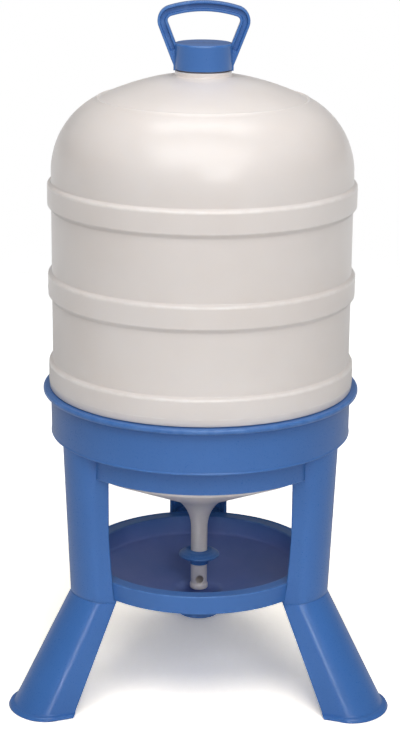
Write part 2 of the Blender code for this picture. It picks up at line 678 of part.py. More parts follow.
def build_stand_ring(parent, material):
    thing = add_object("stand_ring", turned_mesh("stand_ring", ring_outline(), ROUND_SEGMENTS))
    finish_piece(thing, parent, material)


def pan_outline():
    """The drinking pan: sloping floor up to the edge of its well, inner wall, flat lip, skirt."""
    rim = PAN_RIM_Z
    bevel = PAN_EDGE_BEVEL
    wall = PAN_WALL
    skirt_foot = PAN_RADIUS - PAN_SKIRT_DRAFT
    skirt_z = rim - PAN_SKIRT_HEIGHT
    lip_inner = PAN_RADIUS - PAN_LIP_WIDTH
    floor_start = PAN_WELL_RADIUS + SKIN_GAP
    return [
        (floor_start, PAN_WELL_EDGE_Z - wall),
        (PAN_FLOOR_RADIUS + wall / 2, PAN_FLOOR_EDGE_Z - wall),
        (lip_inner + wall, rim - wall),
        (PAN_RADIUS - wall - bevel / 3, rim - wall),
        (skirt_foot - wall, skirt_z),
        (skirt_foot, skirt_z),
        (PAN_RADIUS, rim - bevel),
        (PAN_RADIUS - bevel * 0.3, rim - bevel * 0.3),
        (PAN_RADIUS - bevel, rim),
        (lip_inner + bevel, rim),
        (lip_inner, rim - bevel),
        (PAN_FLOOR_RADIUS, PAN_FLOOR_EDGE_Z),
        (floor_start, PAN_WELL_EDGE_Z),
    ]


def well_outline():
    """The cup in the middle of the pan, under the end of the outlet tube."""
    bevel = PAN_EDGE_BEVEL
    wall = PAN_WALL
    well_foot = PAN_WELL_RADIUS - PAN_WELL_DRAFT
    return [
        (0.0, PAN_WELL_BOTTOM_Z),
        (well_foot - bevel, PAN_WELL_BOTTOM_Z),
        (well_foot, PAN_WELL_BOTTOM_Z + bevel),
        (PAN_WELL_RADIUS, PAN_WELL_EDGE_Z - wall),
        (PAN_WELL_RADIUS, PAN_WELL_EDGE_Z),
        (PAN_WELL_RADIUS - wall + bevel, PAN_WELL_EDGE_Z),
        (PAN_WELL_RADIUS - wall, PAN_WELL_EDGE_Z - bevel),
        (well_foot - wall, PAN_WELL_BOTTOM_Z + wall),
        (0.0, PAN_WELL_BOTTOM_Z + wall),
    ]


def build_drinking_pan(parent, material):
    thing = add_object("drinking_pan", turned_mesh("drinking_pan", pan_outline(), ROUND_SEGMENTS))
    finish_piece(thing, parent, material)


def build_pan_well(parent, material):
    thing = add_object("pan_well", turned_mesh("pan_well", well_outline(), SMALL_SEGMENTS))
    finish_piece(thing, parent, material)


def channel_path(inner, half_width, corner_half_width, flank, outer, inset):
    """A U-shaped path of (sideways, outward) points: flank, rounded nose, flank."""
    corner_out = inner + flank
    nose = outer - inset - corner_out
    path = [(-(half_width - inset), inner), (-(corner_half_width - inset), corner_out)]
    for step in range(1, SECTION_STEPS):
        angle = math.pi * (1 - step / SECTION_STEPS)
        sideways = (corner_half_width - inset) * math.cos(angle)
        path.append((sideways, corner_out + nose * math.sin(angle)))
    return path + [((corner_half_width - inset), corner_out), (half_width - inset, inner)]


def blend(first, second, share):
    """Points part of the way from one path to another."""
    return [
        tuple(a + (b - a) * share for a, b in zip(start, end)) for start, end in zip(first, second)
    ]


def column_path(z, inset):
    """The column's outer or inset path at a height; it leans in towards the bottom."""
    rise = (z - COLUMN_SEAM_Z) / (COLUMN_TOP_Z - COLUMN_SEAM_Z)
    outer = COLUMN_OUTER_BOTTOM + (COLUMN_OUTER_TOP - COLUMN_OUTER_BOTTOM) * rise
    spread = max(0.0, (COLUMN_SPREAD_Z - z) / (COLUMN_SPREAD_Z - COLUMN_SEAM_Z))
    spread = spread**COLUMN_SPREAD_POWER
    inner = COLUMN_INNER_UPPER + (COLUMN_INNER_LOWER - COLUMN_INNER_UPPER) * spread
    flank = COLUMN_FLANK + COLUMN_INNER_UPPER - inner - (COLUMN_OUTER_TOP - outer)
    return channel_path(
        inner, COLUMN_HALF_WIDTH, COLUMN_CORNER_HALF_WIDTH, flank, outer, inset
    )


def seam_height(outward):
    """Height of the column's tilted lower joint at a distance from the axis."""
    return COLUMN_SEAM_Z - COLUMN_SEAM_SLOPE * (COLUMN_OUTER_BOTTOM - outward)


def column_seam_path(inset):
    """The column's path cut by the tilted joint, as (sideways, outward, height) points."""
    placed = []
    for index, (sideways, outward) in enumerate(column_path(COLUMN_SEAM_Z, inset)):
        for _ in range(3):
            sideways, outward = column_path(seam_height(outward), inset)[index]
        placed.append((sideways, outward, seam_height(outward)))
    return placed


def at_height(path, z):
    return [(sideways, outward, z) for sideways, outward in path]


def lifted(path, rise):
    return [(sideways, outward, z + rise) for sideways, outward, z in path]


def place(path, azimuth):
    """Turns (sideways, outward, height) points to a column's direction round the axis."""
    angle = math.radians(azimuth)
    outwards = Vector((math.cos(angle), math.sin(angle), 0))
    aside = Vector((-math.sin(angle), math.cos(angle), 0))
    return [outwards * outward + aside * sideways + Vector((0, 0, z)) for sideways, outward, z in path]


def column_rings(azimuth):
    levels = [COLUMN_TOP_Z, COLUMN_SPREAD_Z, PAN_JOIN_Z]
    bottom = lifted(column_seam_path(0.0), SKIN_GAP)
    bottom += lifted(column_seam_path(COLUMN_WALL), SKIN_GAP)[::-1]
    rings = [place(bottom, azimuth)]
    for z in levels[::-1]:
        outer = at_height(column_path(z, 0.0), z)
        inner = at_height(column_path(z, COLUMN_WALL), z)
        rings.append(place(outer + inner[::-1], azimuth))
    return rings


def build_column(name, azimuth, parent, material):
    """A channel-shaped column, cut back from the ring's skirt and from the pan."""
    thing = add_object(name, lofted_mesh(name, column_rings(azimuth)))
    ring_keep_out = [
        (0.0, RING_BOTTOM_Z - SKIN_GAP),
        (RING_SKIRT_RADIUS + SKIN_GAP, RING_BOTTOM_Z - SKIN_GAP),
        (RING_SKIRT_RADIUS + SKIN_GAP, RING_TOP_Z),
        (0.0, RING_TOP_Z),
    ]
    foot_radius = PAN_RADIUS - PAN_SKIRT_DRAFT + SKIN_GAP
    pan_keep_out = [
        (0.0, 0.0),
        (foot_radius, 0.0),
        (foot_radius, PAN_RIM_Z - PAN_SKIRT_HEIGHT),
        (PAN_RADIUS + SKIN_GAP, PAN_RIM_Z - PAN_EDGE_BEVEL),
        (PAN_RADIUS + SKIN_GAP, PAN_RIM_Z + SKIN_GAP),
        (0.0, PAN_RIM_Z + SKIN_GAP),
    ]
    for label, outline in (("ring space", ring_keep_out), ("pan space", pan_keep_out)):
        cutter = add_object(label, turned_mesh(label, outline, ROUND_SEGMENTS))
        apply_boolean(thing, cutter, "DIFFERENCE")
    finish_piece(thing, parent, material)


def leg_path(share, inset):
    """The leg's path between its tilted top joint (share 0) and the floor (share 1)."""
    top = []
    for index, (sideways, outward, z) in enumerate(column_seam_path(inset)):
        on_flank = index in (0, SECTION_STEPS + 2)
        if on_flank:
            outward = LEG_INNER_TOP
            sideways = math.copysign(LEG_TOP_HALF_WIDTH - inset, sideways)
            z = seam_height(outward)
        top.append((sideways, outward, z))
    foot_outer = COLUMN_OUTER_BOTTOM + LEG_SPLAY * COLUMN_SEAM_Z
    foot = channel_path(
        LEG_INNER_FOOT,
        LEG_FOOT_HALF_WIDTH,
        LEG_FOOT_CORNER_HALF_WIDTH,
        LEG_FOOT_FLANK,
        foot_outer,
        inset,
    )
    return blend(top, at_height(foot, 0.0), share)


def leg_path_at(z, inset):
    """The leg's path where every point has the same height."""
    path = []
    for start, end in zip(leg_path(0.0, inset), leg_path(1.0, inset)):
        share = (start[2] - z) / start[2]
        path.append(tuple(a + (b - a) * share for a, b in zip(start, end)))
    return path


def shortened(path):
    """Draws both flank ends of a tongue's path back to TONGUE_INNER, along the flanks."""
    ends = []
    for end, corner in ((path[0], path[1]), (path[-1], path[-2])):
        share = (TONGUE_INNER - end[1]) / (corner[1] - end[1])
        ends.append(tuple(a + (b - a) * share for a, b in zip(end, corner)))
    return [ends[0]] + path[1:-1] + [ends[1]]


def sole_path(z):
    """The foot flange's outer edge: the leg's path moved outwards, less so at its inner ends."""
    path = leg_path_at(z, -FOOT_FLANGE)
    ends = leg_path_at(z, -FOOT_FLANGE_END)
    return [ends[0]] + path[1:-1] + [ends[-1]]


def leg_rings(azimuth):
    """The foot flange, the splayed channel and the tongue that plugs into the column."""
    sole = FOOT_FLANGE_HEIGHT
    outer_tongue = COLUMN_WALL + TONGUE_CLEARANCE
    inner_tongue = outer_tongue + TONGUE_WALL
    rings = [
        sole_path(0.0) + leg_path_at(0.0, LEG_WALL)[::-1],
        sole_path(sole) + leg_path_at(sole, LEG_WALL)[::-1],
        leg_path_at(sole, 0.0) + leg_path_at(sole, LEG_WALL)[::-1],
    ]
    for share in (0.5, LEG_SHOULDER):
        rings.append(leg_path(share, 0.0) + leg_path(share, LEG_WALL)[::-1])
    rings.append(leg_path(0.0, 0.0) + leg_path(0.0, inner_tongue)[::-1])
    root = column_seam_path(outer_tongue) + column_seam_path(inner_tongue)[::-1]
    top = at_height(column_path(TONGUE_TOP_Z, outer_tongue), TONGUE_TOP_Z)
    top += at_height(column_path(TONGUE_TOP_Z, inner_tongue), TONGUE_TOP_Z)[::-1]
    for path in (root, top):
        middle = len(path) // 2
        rings.append(shortened(path[:middle]) + shortened(path[middle:]))
    return [place(path, azimuth) for path in rings]


def build_leg(name, azimuth, parent, material):
    thing = add_object(name, lofted_mesh(name, leg_rings(azimuth)))
    finish_piece(thing, parent, material)


def axis_offset():
    """The tank's axis along Y, when the middle of the box round the drinker is at 0."""
    depths = [-RING_LIP_RADIUS, RING_LIP_RADIUS]
    for azimuth in COLUMN_AZIMUTHS.values():
        depths += [point.y for point in place(sole_path(0.0), azimuth)]
    return -(min(depths) + max(depths)) / 2


def main():
    clear_scene()
    axis = add_object("drinker_axis", None)
    axis.location.y = axis_offset()
    blue = plastic("blue_plastic", BLUE, 0.32)
    milky = plastic("milky_plastic", MILKY, 0.38)
    build_tank(axis, milky)
    build_tank_funnel(axis, milky)
    build_outlet_tube(axis, milky)
    build_filler_cap(axis, blue)
    build_cap_seal(axis, plastic("black_rubber", BLACK, 0.70))
    build_valve_collar(axis, blue)
    build_stand_ring(axis, blue)
    build_drinking_pan(axis, blue)
    build_pan_well(axis, blue)
    for side, azimuth in COLUMN_AZIMUTHS.items():
        build_column("column_" + side, azimuth, axis, blue)
        build_leg("leg_" + side, azimuth, axis, blue)


main()
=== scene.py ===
# %% [markdown]
# # A poultry drinker in moulded plastic
#
# The drinker is a milky water tank that stands in a blue three-legged frame over a drinking pan.
# The engineering model gives every size and every moving body. This notebook loads it as a fixed
# frame and builds the surfaces that the eye sees round it: rounded edges, joints, thin walls, and
# plastics that look moulded. Nothing here changes a size.

# %% Load the frame
import json
import math

import bmesh
import bpy
from mathutils import Matrix, Vector

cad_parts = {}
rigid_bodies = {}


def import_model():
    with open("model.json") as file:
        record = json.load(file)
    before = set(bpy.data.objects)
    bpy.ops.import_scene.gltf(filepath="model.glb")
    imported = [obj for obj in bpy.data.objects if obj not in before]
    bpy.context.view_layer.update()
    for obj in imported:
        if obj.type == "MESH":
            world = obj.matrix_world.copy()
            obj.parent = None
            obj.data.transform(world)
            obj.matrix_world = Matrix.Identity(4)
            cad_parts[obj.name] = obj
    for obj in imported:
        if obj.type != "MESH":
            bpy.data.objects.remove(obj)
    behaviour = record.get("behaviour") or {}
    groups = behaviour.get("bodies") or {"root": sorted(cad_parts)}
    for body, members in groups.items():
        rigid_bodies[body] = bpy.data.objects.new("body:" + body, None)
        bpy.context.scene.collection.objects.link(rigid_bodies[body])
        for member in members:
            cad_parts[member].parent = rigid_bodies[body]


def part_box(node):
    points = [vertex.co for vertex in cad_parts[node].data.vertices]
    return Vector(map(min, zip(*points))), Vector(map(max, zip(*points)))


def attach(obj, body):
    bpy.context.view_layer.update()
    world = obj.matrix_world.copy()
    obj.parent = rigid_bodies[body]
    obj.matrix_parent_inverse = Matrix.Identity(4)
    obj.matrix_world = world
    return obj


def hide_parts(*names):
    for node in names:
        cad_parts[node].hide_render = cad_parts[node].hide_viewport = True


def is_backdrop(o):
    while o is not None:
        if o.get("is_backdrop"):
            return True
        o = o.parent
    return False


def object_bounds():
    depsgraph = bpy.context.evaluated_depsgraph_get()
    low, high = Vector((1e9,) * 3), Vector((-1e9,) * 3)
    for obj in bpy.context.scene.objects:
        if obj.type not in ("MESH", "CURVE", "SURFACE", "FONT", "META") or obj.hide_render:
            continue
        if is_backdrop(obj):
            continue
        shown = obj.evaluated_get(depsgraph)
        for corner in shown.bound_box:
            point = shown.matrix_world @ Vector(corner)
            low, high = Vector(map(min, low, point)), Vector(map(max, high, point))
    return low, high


for thing in list(bpy.data.objects):
    bpy.data.objects.remove(thing, do_unlink=True)
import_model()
cad_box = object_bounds()

# %% [markdown]
# ## Where the tank's axis stands
#
# Almost every piece is round about the tank's upright axis. The three legs don't stand evenly about
# the middle of the drinker's box, so the axis isn't at Y = 0. It is read from the ring, which is
# round, instead of being written again.

# %% The tank's axis
ring_low, ring_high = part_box("stand_ring")
AXIS_Y = (ring_low.y + ring_high.y) / 2
TO_AXIS = Matrix.Translation((0, AXIS_Y, 0))
print("axis at y = %.4f m" % AXIS_Y)

# %% [markdown]
# ## The camera
#
# The photograph was taken with a long lens from about two metres, slightly above the tank. One
# camera was fitted to the tank's bands, the ring, the pan and the feet. Its place, pitch and lens are
# written here as numbers. The picture leans by half a degree, so the camera is rolled by as much.

# %% Camera
VIEW_HEIGHT = 0.3595      # the height on the axis that the camera looks at
VIEW_DISTANCE = 2.2174
VIEW_PITCH = math.radians(16.14)
VIEW_TURN = math.radians(-0.6)
VIEW_ROLL = math.radians(0.53)
LENS_MM = 97.45
SENSOR_MM = 36.0
PICTURE_LONG_SIDE = 740
SHIFT_PIXELS = -0.7       # the axis isn't quite in the middle of the picture
FAR_CLIP = 60.0


def build_camera():
    data = bpy.data.cameras.new("camera")
    data.lens = LENS_MM
    data.sensor_width = SENSOR_MM
    data.shift_x = SHIFT_PIXELS / PICTURE_LONG_SIDE
    data.clip_end = FAR_CLIP
    camera = bpy.data.objects.new("camera", data)
    bpy.context.scene.collection.objects.link(camera)
    target = Vector((0, AXIS_Y, VIEW_HEIGHT))
    back = Vector((0, -math.cos(VIEW_PITCH), math.sin(VIEW_PITCH)))
    back = Matrix.Rotation(VIEW_TURN, 3, "Z") @ back
    looking = (-back).to_track_quat("-Z", "Y").to_matrix().to_4x4()
    place = Matrix.Translation(target + back * VIEW_DISTANCE)
    camera.matrix_world = place @ looking @ Matrix.Rotation(VIEW_ROLL, 4, "Z")
    bpy.context.scene.camera = camera
    return camera


camera = build_camera()
print("camera at", [round(value, 3) for value in camera.matrix_world.translation])

# %% [markdown]
# ## Soft edges on an outline
#
# Moulded plastic has no sharp edges. A round piece is drawn as the outline of its wall, in radius and
# height, with a rounding at each corner. Each rounding becomes a short arc, with one more point just
# outside it, so that the flat walls keep a flat shade. A Bevel modifier could round the finished
# mesh, but it can't give each edge its own size. Corners that stand out are marked, because the
# plastic is a little lighter and more worn there.

# %% Rounded outlines
LONGEST_SETBACK = 0.45    # the part of a flat wall that one rounding may take
ARC_DEGREES = 14          # turn of one step of an arc
MARGIN = 0.0006           # from an arc to the point that keeps the wall beside it flat
MARGIN_SHARE = 0.06       # the same on a short wall, as a part of its length


def rounded(corners, closed=False, steps=None):
    """Turns (x, y) or (x, y, rounding) corners into (x, y, edge) points, solid on the left."""
    points = []
    last = len(corners) - 1
    for index, corner in enumerate(corners):
        here = Vector(corner[:2])
        size = corner[2] if len(corner) > 2 else 0.0
        if size <= 0 or (not closed and index in (0, last)):
            points.append((here.x, here.y, 0.0))
            continue
        back = Vector(corners[index - 1][:2]) - here
        on = Vector(corners[(index + 1) % len(corners)][:2]) - here
        turn = math.pi - back.angle(on)
        longest = LONGEST_SETBACK * min(back.length, on.length)
        setback = min(size * math.tan(turn / 2), longest)
        size = setback / math.tan(turn / 2)
        start = here + back.normalized() * setback
        centre = here + (back.normalized() + on.normalized()).normalized() * size / math.cos(turn / 2)
        side = 1.0 if back.x * on.y - back.y * on.x < 0 else -1.0
        edge = 1.0 if side > 0 else 0.0
        count = steps or max(2, math.ceil(math.degrees(turn) / ARC_DEGREES))
        margin_in = min(MARGIN, MARGIN_SHARE * back.length)
        margin_out = min(MARGIN, MARGIN_SHARE * on.length)
        before = start + back.normalized() * margin_in
        points.append((before.x, before.y, 0.0))
        spoke = start - centre
        for step in range(count + 1):
            angle = side * turn * step / count
            x = centre.x + spoke.x * math.cos(angle) - spoke.y * math.sin(angle)
            y = centre.y + spoke.x * math.sin(angle) + spoke.y * math.cos(angle)
            points.append((x, y, edge))
        after = here + on.normalized() * (setback + margin_out)
        points.append((after.x, after.y, 0.0))
    return points


def arc(centre_x, centre_y, radius, start, end, steps):
    """Points on an arc between two angles in degrees."""
    points = []
    for step in range(steps + 1):
        angle = math.radians(start + (end - start) * step / steps)
        points.append((centre_x + radius * math.cos(angle), centre_y + radius * math.sin(angle)))
    return points


print("a square corner of 1 mm becomes", len(rounded([(0, 0), (0.01, 0, 0.001), (0.01, 0.01)])), "points")

# %% [markdown]
# ## Shorter ways to add nodes
#
# Node trees make the round shapes and the finishes, and they get long when every node is written
# out. Three helpers keep them readable: one adds any node with its links and settings, one adds a
# maths node, and one adds a node that stretches a range of values.

# %% Node helpers
NUMBER = "NodeSocketFloat"
MATERIAL = "NodeSocketMaterial"


def node_tools(tree):
    """Gives three functions that add to a tree: any node, a maths node and a stretched range."""

    def add(kind, links=None, **settings):
        node = tree.nodes.new(kind)
        for key, value in settings.items():
            setattr(node, key, value)
        for key, value in (links or {}).items():
            if isinstance(value, bpy.types.NodeSocket):
                tree.links.new(value, node.inputs[key])
            else:
                node.inputs[key].default_value = value
        return node

    def maths(operation, *values, **settings):
        links = dict(enumerate(values))
        return add("ShaderNodeMath", links, operation=operation, **settings).outputs[0]

    def ranged(value, low, high, start=0.0, end=1.0, **settings):
        links = {"Value": value, "From Min": low, "From Max": high, "To Min": start, "To Max": end}
        return add("ShaderNodeMapRange", links, **settings).outputs[0]

    return add, maths, ranged


def name_inputs(tree, inputs):
    """Gives a tree its named inputs, from (name, kind, value) rows."""
    for label, kind, value in inputs:
        socket = tree.interface.new_socket(label, in_out="INPUT", socket_type=kind)
        if value is not None:
            socket.default_value = value


print("numbers go in through", NUMBER, "and materials through", MATERIAL)

# %% [markdown]
# ## One tree for every turned piece
#
# The tank, the ring, the pan, the cap, the seal and the collar all follow one rule: an outline turned
# about the axis. A Geometry Nodes tree is written once for that rule. It lays a grid with a row for
# each step round, takes each corner's radius and height from the outline, and bends the grid round.
# The grid's own map becomes the piece's UV map.

# %% Starting, ending and running a tree
MERGE_DISTANCE = 0.00001


def chain_mesh(name, points, closed=False):
    """A line of vertices, with the edge value of each as an attribute."""
    mesh = bpy.data.meshes.new(name)
    edges = [(index, index + 1) for index in range(len(points) - 1)]
    if closed:
        edges.append((len(points) - 1, 0))
    mesh.from_pydata([(point[0], 0.0, point[1]) for point in points], edges, [])
    marks = mesh.attributes.new("edge", "FLOAT", "POINT")
    marks.data.foreach_set("value", [point[2] for point in points])
    return mesh


def new_tree(name, inputs):
    """An empty tree with a geometry in and out and named inputs."""
    tree = bpy.data.node_groups.new(name, "GeometryNodeTree")
    name_inputs(tree, [("Geometry", "NodeSocketGeometry", None), *inputs])
    tree.interface.new_socket("Geometry", in_out="OUTPUT", socket_type="NodeSocketGeometry")
    return tree, tree.nodes.new("NodeGroupInput"), tree.nodes.new("NodeGroupOutput")


def end_tree(tree, add, mesh, given, out):
    """Makes instances real, sets the material and puts the mesh out."""
    real = add("GeometryNodeRealizeInstances", {"Geometry": mesh})
    links = {"Geometry": real.outputs[0], "Material": given.outputs["Material"]}
    painted = add("GeometryNodeSetMaterial", links)
    tree.links.new(painted.outputs[0], out.inputs["Geometry"])
    return tree


def grown(name, start_mesh, tree, values):
    """Runs a tree on a start mesh and returns the result as a plain mesh."""
    carrier = bpy.data.objects.new(name + " start", start_mesh)
    bpy.context.scene.collection.objects.link(carrier)
    modifier = carrier.modifiers.new("grow", "NODES")
    modifier.node_group = tree
    for item in tree.interface.items_tree:
        if item.in_out == "INPUT" and item.name in values:
            modifier[item.identifier] = values[item.name]
    bpy.context.view_layer.update()
    mesh = bpy.data.meshes.new_from_object(carrier.evaluated_get(bpy.context.evaluated_depsgraph_get()))
    bpy.data.objects.remove(carrier, do_unlink=True)
    mesh.name = name
    return mesh


print("points closer than %.2f mm are merged" % (1000 * MERGE_DISTANCE))


# %% The turning tree
def turning_tree():
    inputs = [("Steps round", "NodeSocketInt", 96), ("Axis Y", NUMBER, 0.0), ("Material", MATERIAL, None)]
    tree, given, out = new_tree("turned piece", inputs)
    add, maths, _ = node_tools(tree)
    outline = given.outputs["Geometry"]
    round_steps = given.outputs["Steps round"]
    size = add("GeometryNodeAttributeDomainSize", {"Geometry": outline}, component="MESH")
    corners = size.outputs["Point Count"]
    rows = maths("ADD", round_steps, 1.0)
    grid = add("GeometryNodeMeshGrid", {"Vertices X": rows, "Vertices Y": corners})
    index = add("GeometryNodeInputIndex").outputs[0]
    row = maths("FLOOR", maths("DIVIDE", index, corners))
    place = maths("MODULO", index, corners)
    here = add("GeometryNodeInputPosition").outputs[0]
    links = {"Geometry": outline, "Value": here, "Index": place}
    point = add("GeometryNodeSampleIndex", links, data_type="FLOAT_VECTOR")
    marks = add("GeometryNodeInputNamedAttribute", {"Name": "edge"}, data_type="FLOAT")
    links = {"Geometry": outline, "Value": marks.outputs["Attribute"], "Index": place}
    mark = add("GeometryNodeSampleIndex", links, data_type="FLOAT")
    parts = add("ShaderNodeSeparateXYZ", {0: point.outputs[0]})
    angle = maths("MULTIPLY", maths("DIVIDE", row, round_steps), 2 * math.pi)
    across = maths("MULTIPLY", parts.outputs["X"], maths("COSINE", angle))
    deep = maths("MULTIPLY", parts.outputs["X"], maths("SINE", angle))
    deep = maths("ADD", deep, given.outputs["Axis Y"])
    spot = add("ShaderNodeCombineXYZ", {0: across, 1: deep, 2: parts.outputs["Z"]})
    links = {"Geometry": grid.outputs["Mesh"], "Name": "edge", "Value": mark.outputs[0]}
    marked = add("GeometryNodeStoreNamedAttribute", links, data_type="FLOAT", domain="POINT")
    links = {"Geometry": marked.outputs[0], "Name": "UVMap", "Value": grid.outputs["UV Map"]}
    mapped = add("GeometryNodeStoreNamedAttribute", links, data_type="FLOAT2", domain="CORNER")
    bent = add("GeometryNodeSetPosition", {"Geometry": mapped.outputs[0], "Position": spot.outputs[0]})
    links = {"Geometry": bent.outputs[0], "Distance": MERGE_DISTANCE}
    closed = add("GeometryNodeMergeByDistance", links)
    return end_tree(tree, add, closed.outputs[0], given, out)


TURNING = turning_tree()
print("turning tree:", len(TURNING.nodes), "nodes")

# %% [markdown]
# ## Finishing a mesh
#
# A turned or cut mesh can come out with its faces inward, so the normals are worked out again after
# doubles are merged. Edges sharper than 32 degrees stay crisp, and everything else is shaded smooth.

# %% Finishing helpers
SHARP_ANGLE = 32


def finished(mesh, sharp=SHARP_ANGLE):
    """Merges doubles, turns all faces outwards and shades the mesh."""
    work = bmesh.new()
    work.from_mesh(mesh)
    bmesh.ops.remove_doubles(work, verts=work.verts, dist=MERGE_DISTANCE)
    bmesh.ops.recalc_face_normals(work, faces=work.faces)
    work.to_mesh(mesh)
    work.free()
    mesh.shade_smooth()
    mesh.set_sharp_from_angle(angle=math.radians(sharp))
    return mesh


print("edges stay crisp above", SHARP_ANGLE, "degrees")


# %% Turned meshes, joins and pieces
def turned(name, corners, material, steps=96, closed=False, axis_y=None):
    """A turned mesh from an outline's corners; a closed outline ends where it began."""
    points = rounded(corners, closed)
    if closed:
        points.append(points[0])
    values = {"Steps round": steps, "Axis Y": AXIS_Y if axis_y is None else axis_y, "Material": material}
    return finished(grown(name, chain_mesh(name + " outline", points), TURNING, values))


def add_object(name, mesh):
    """A mesh as an object in the scene, unturned at the origin."""
    thing = bpy.data.objects.new(name, mesh)
    bpy.context.scene.collection.objects.link(thing)
    return thing


def combined(thing, other, operation):
    """Joins, cuts or keeps the common part with an exact Boolean, and drops the other object."""
    change = thing.modifiers.new(operation.title(), "BOOLEAN")
    change.operation = operation
    change.solver = "EXACT"
    change.object = other
    bpy.context.view_layer.update()
    result = bpy.data.meshes.new_from_object(thing.evaluated_get(bpy.context.evaluated_depsgraph_get()))
    thing.modifiers.remove(change)
    thing.data = finished(result)
    bpy.data.objects.remove(other, do_unlink=True)
    return thing


def joined(name, meshes):
    """Puts several closed meshes into one, without changing any of them."""
    work = bmesh.new()
    for mesh in meshes:
        work.from_mesh(mesh)
    mesh = bpy.data.meshes.new(name)
    for material in meshes[0].materials:
        mesh.materials.append(material)
    work.to_mesh(mesh)
    work.free()
    mesh.shade_smooth()
    mesh.set_sharp_from_angle(angle=math.radians(SHARP_ANGLE))
    return mesh


def piece(name, mesh, body, nodes):
    """Puts a finished mesh on its body in place of the nodes that it stands for."""
    mesh.name = name
    thing = add_object(name, mesh)
    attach(thing, body)
    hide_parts(*nodes)
    mesh.calc_loop_triangles()
    print("%-14s %6d triangles on %s" % (name, len(mesh.loop_triangles), body))
    return thing


# %% [markdown]
# # Finishes
#
# The tank is blow-moulded polyethylene, milky and a little uneven. The frame, legs, cap and collar
# are injection-moulded polypropylene in blue, and water has left a film on it in the pan, whose pale
# colour also paints light into the pan's shaded inside. The seal is black rubber.
#
# Two effects are shared, so each is a shader node group that is built once: moulded skin, which is
# the fine grain and slow waviness of a moulded wall, and handling marks, which are the faint
# scratches and paler edges of plastic that has been packed and carried.

# %% Shader node helpers
def noise(add, vector, scale, detail, roughness=0.5):
    """A noise value, whose scale counts patches in a metre."""
    links = {"Vector": vector, "Scale": scale, "Detail": detail, "Roughness": roughness}
    return add("ShaderNodeTexNoise", links).outputs[0]


def mixed(add, share, first, second):
    """The first colour with a share of the second."""
    links = {"Factor": share, 6: first, 7: second}
    return add("ShaderNodeMix", links, data_type="RGBA").outputs[2]


def new_group(name, inputs):
    """An empty shader group with a vector and named numbers as its inputs."""
    group = bpy.data.node_groups.new(name, "ShaderNodeTree")
    name_inputs(group, [("Vector", "NodeSocketVector", None)])
    name_inputs(group, [(label, NUMBER, value) for label, value in inputs.items()])
    return group, group.nodes.new("NodeGroupInput"), group.nodes.new("NodeGroupOutput")


def end_group(group, out, results):
    """Gives a group one named output for each result."""
    for label, result in results.items():
        group.interface.new_socket(label, in_out="OUTPUT", socket_type=NUMBER)
        group.links.new(result, out.inputs[label])
    print("%s: %d nodes" % (group.name, len(group.nodes)))
    return group


# %% Moulded skin
def moulded_skin_group():
    """Height in metres and a tint between 0 and 1 that vary slowly over a moulded wall."""
    sizes = {"Wave size": 0.08, "Wave height": 0.0002, "Grain size": 0.0015, "Grain height": 0.00001}
    group, given, out = new_group("moulded skin", sizes)
    add, maths, _ = node_tools(group)
    vector = given.outputs["Vector"]
    wave = noise(add, vector, maths("DIVIDE", 1.0, given.outputs["Wave size"]), 2.0, 0.45)
    grain = noise(add, vector, maths("DIVIDE", 1.0, given.outputs["Grain size"]), 3.0, 0.6)
    high = maths("MULTIPLY", wave, given.outputs["Wave height"])
    fine = maths("MULTIPLY", grain, given.outputs["Grain height"])
    return end_group(group, out, {"Height": maths("ADD", high, fine), "Tint": wave, "Grain": grain})


SKIN = moulded_skin_group()


# %% Handling marks
SCRATCH_WIDTH = 0.006       # the part of a noise's middle value that shows as a line
SCRATCH_LAYS = (            # the turn and the stretch of two lays of scratches
    (0.5, (1.0, 0.07, 0.35)),
    (2.1, (0.09, 1.0, 0.3)),
)


def handling_marks_group():
    """A mask of fine scratches in patches, and a mask of edges, rubbed unevenly."""
    group, given, out = new_group("handling marks", {"Edge": 0.0, "Scratch size": 0.02})
    add, maths, ranged = node_tools(group)
    vector = given.outputs["Vector"]
    scale = maths("DIVIDE", 1.0, given.outputs["Scratch size"])
    lines = []
    for turn, stretch in SCRATCH_LAYS:
        links = {"Vector": vector, "Rotation": (0.3 * turn, 0.2, turn), "Scale": stretch}
        streaks = noise(add, add("ShaderNodeMapping", links).outputs[0], scale, 6.0, 0.75)
        line = maths("ABSOLUTE", maths("SUBTRACT", streaks, 0.5))
        lines.append(ranged(line, 0.0, SCRATCH_WIDTH, 1.0, 0.0))
    patch = ranged(noise(add, vector, 14.0, 2.0), 0.45, 0.7)
    scratches = maths("MULTIPLY", maths("MAXIMUM", *lines), patch)
    rub = ranged(noise(add, vector, 90.0, 4.0), 0.35, 0.65)
    rubbed = maths("MULTIPLY", given.outputs["Edge"], rub)
    return end_group(group, out, {"Scratches": scratches, "Rubbed": rubbed})


MARKS = handling_marks_group()

# %% [markdown]
# ## Blue moulded plastic
#
# The blue is a strong, slightly grey blue with a satin skin. A plain colour would look like paint, so
# the tint drifts by a few per cent where the melt flowed, edges are a little paler where the skin is
# thin, and the grain breaks up the highlight. The gloss itself comes from one Principled shader.

# %% Moulded plastic
EDGE_PALING = 0.45
SCRATCH_PALING = 0.08
SCRATCH_DULLNESS = 0.12


def srgb(red, green, blue):
    """A screen colour from 0 to 255 as the linear numbers that a shader takes."""
    channels = []
    for value in (red, green, blue):
        share = value / 255
        channels.append(share / 12.92 if share <= 0.04045 else ((share + 0.055) / 1.055) ** 2.4)
    return (*channels, 1.0)


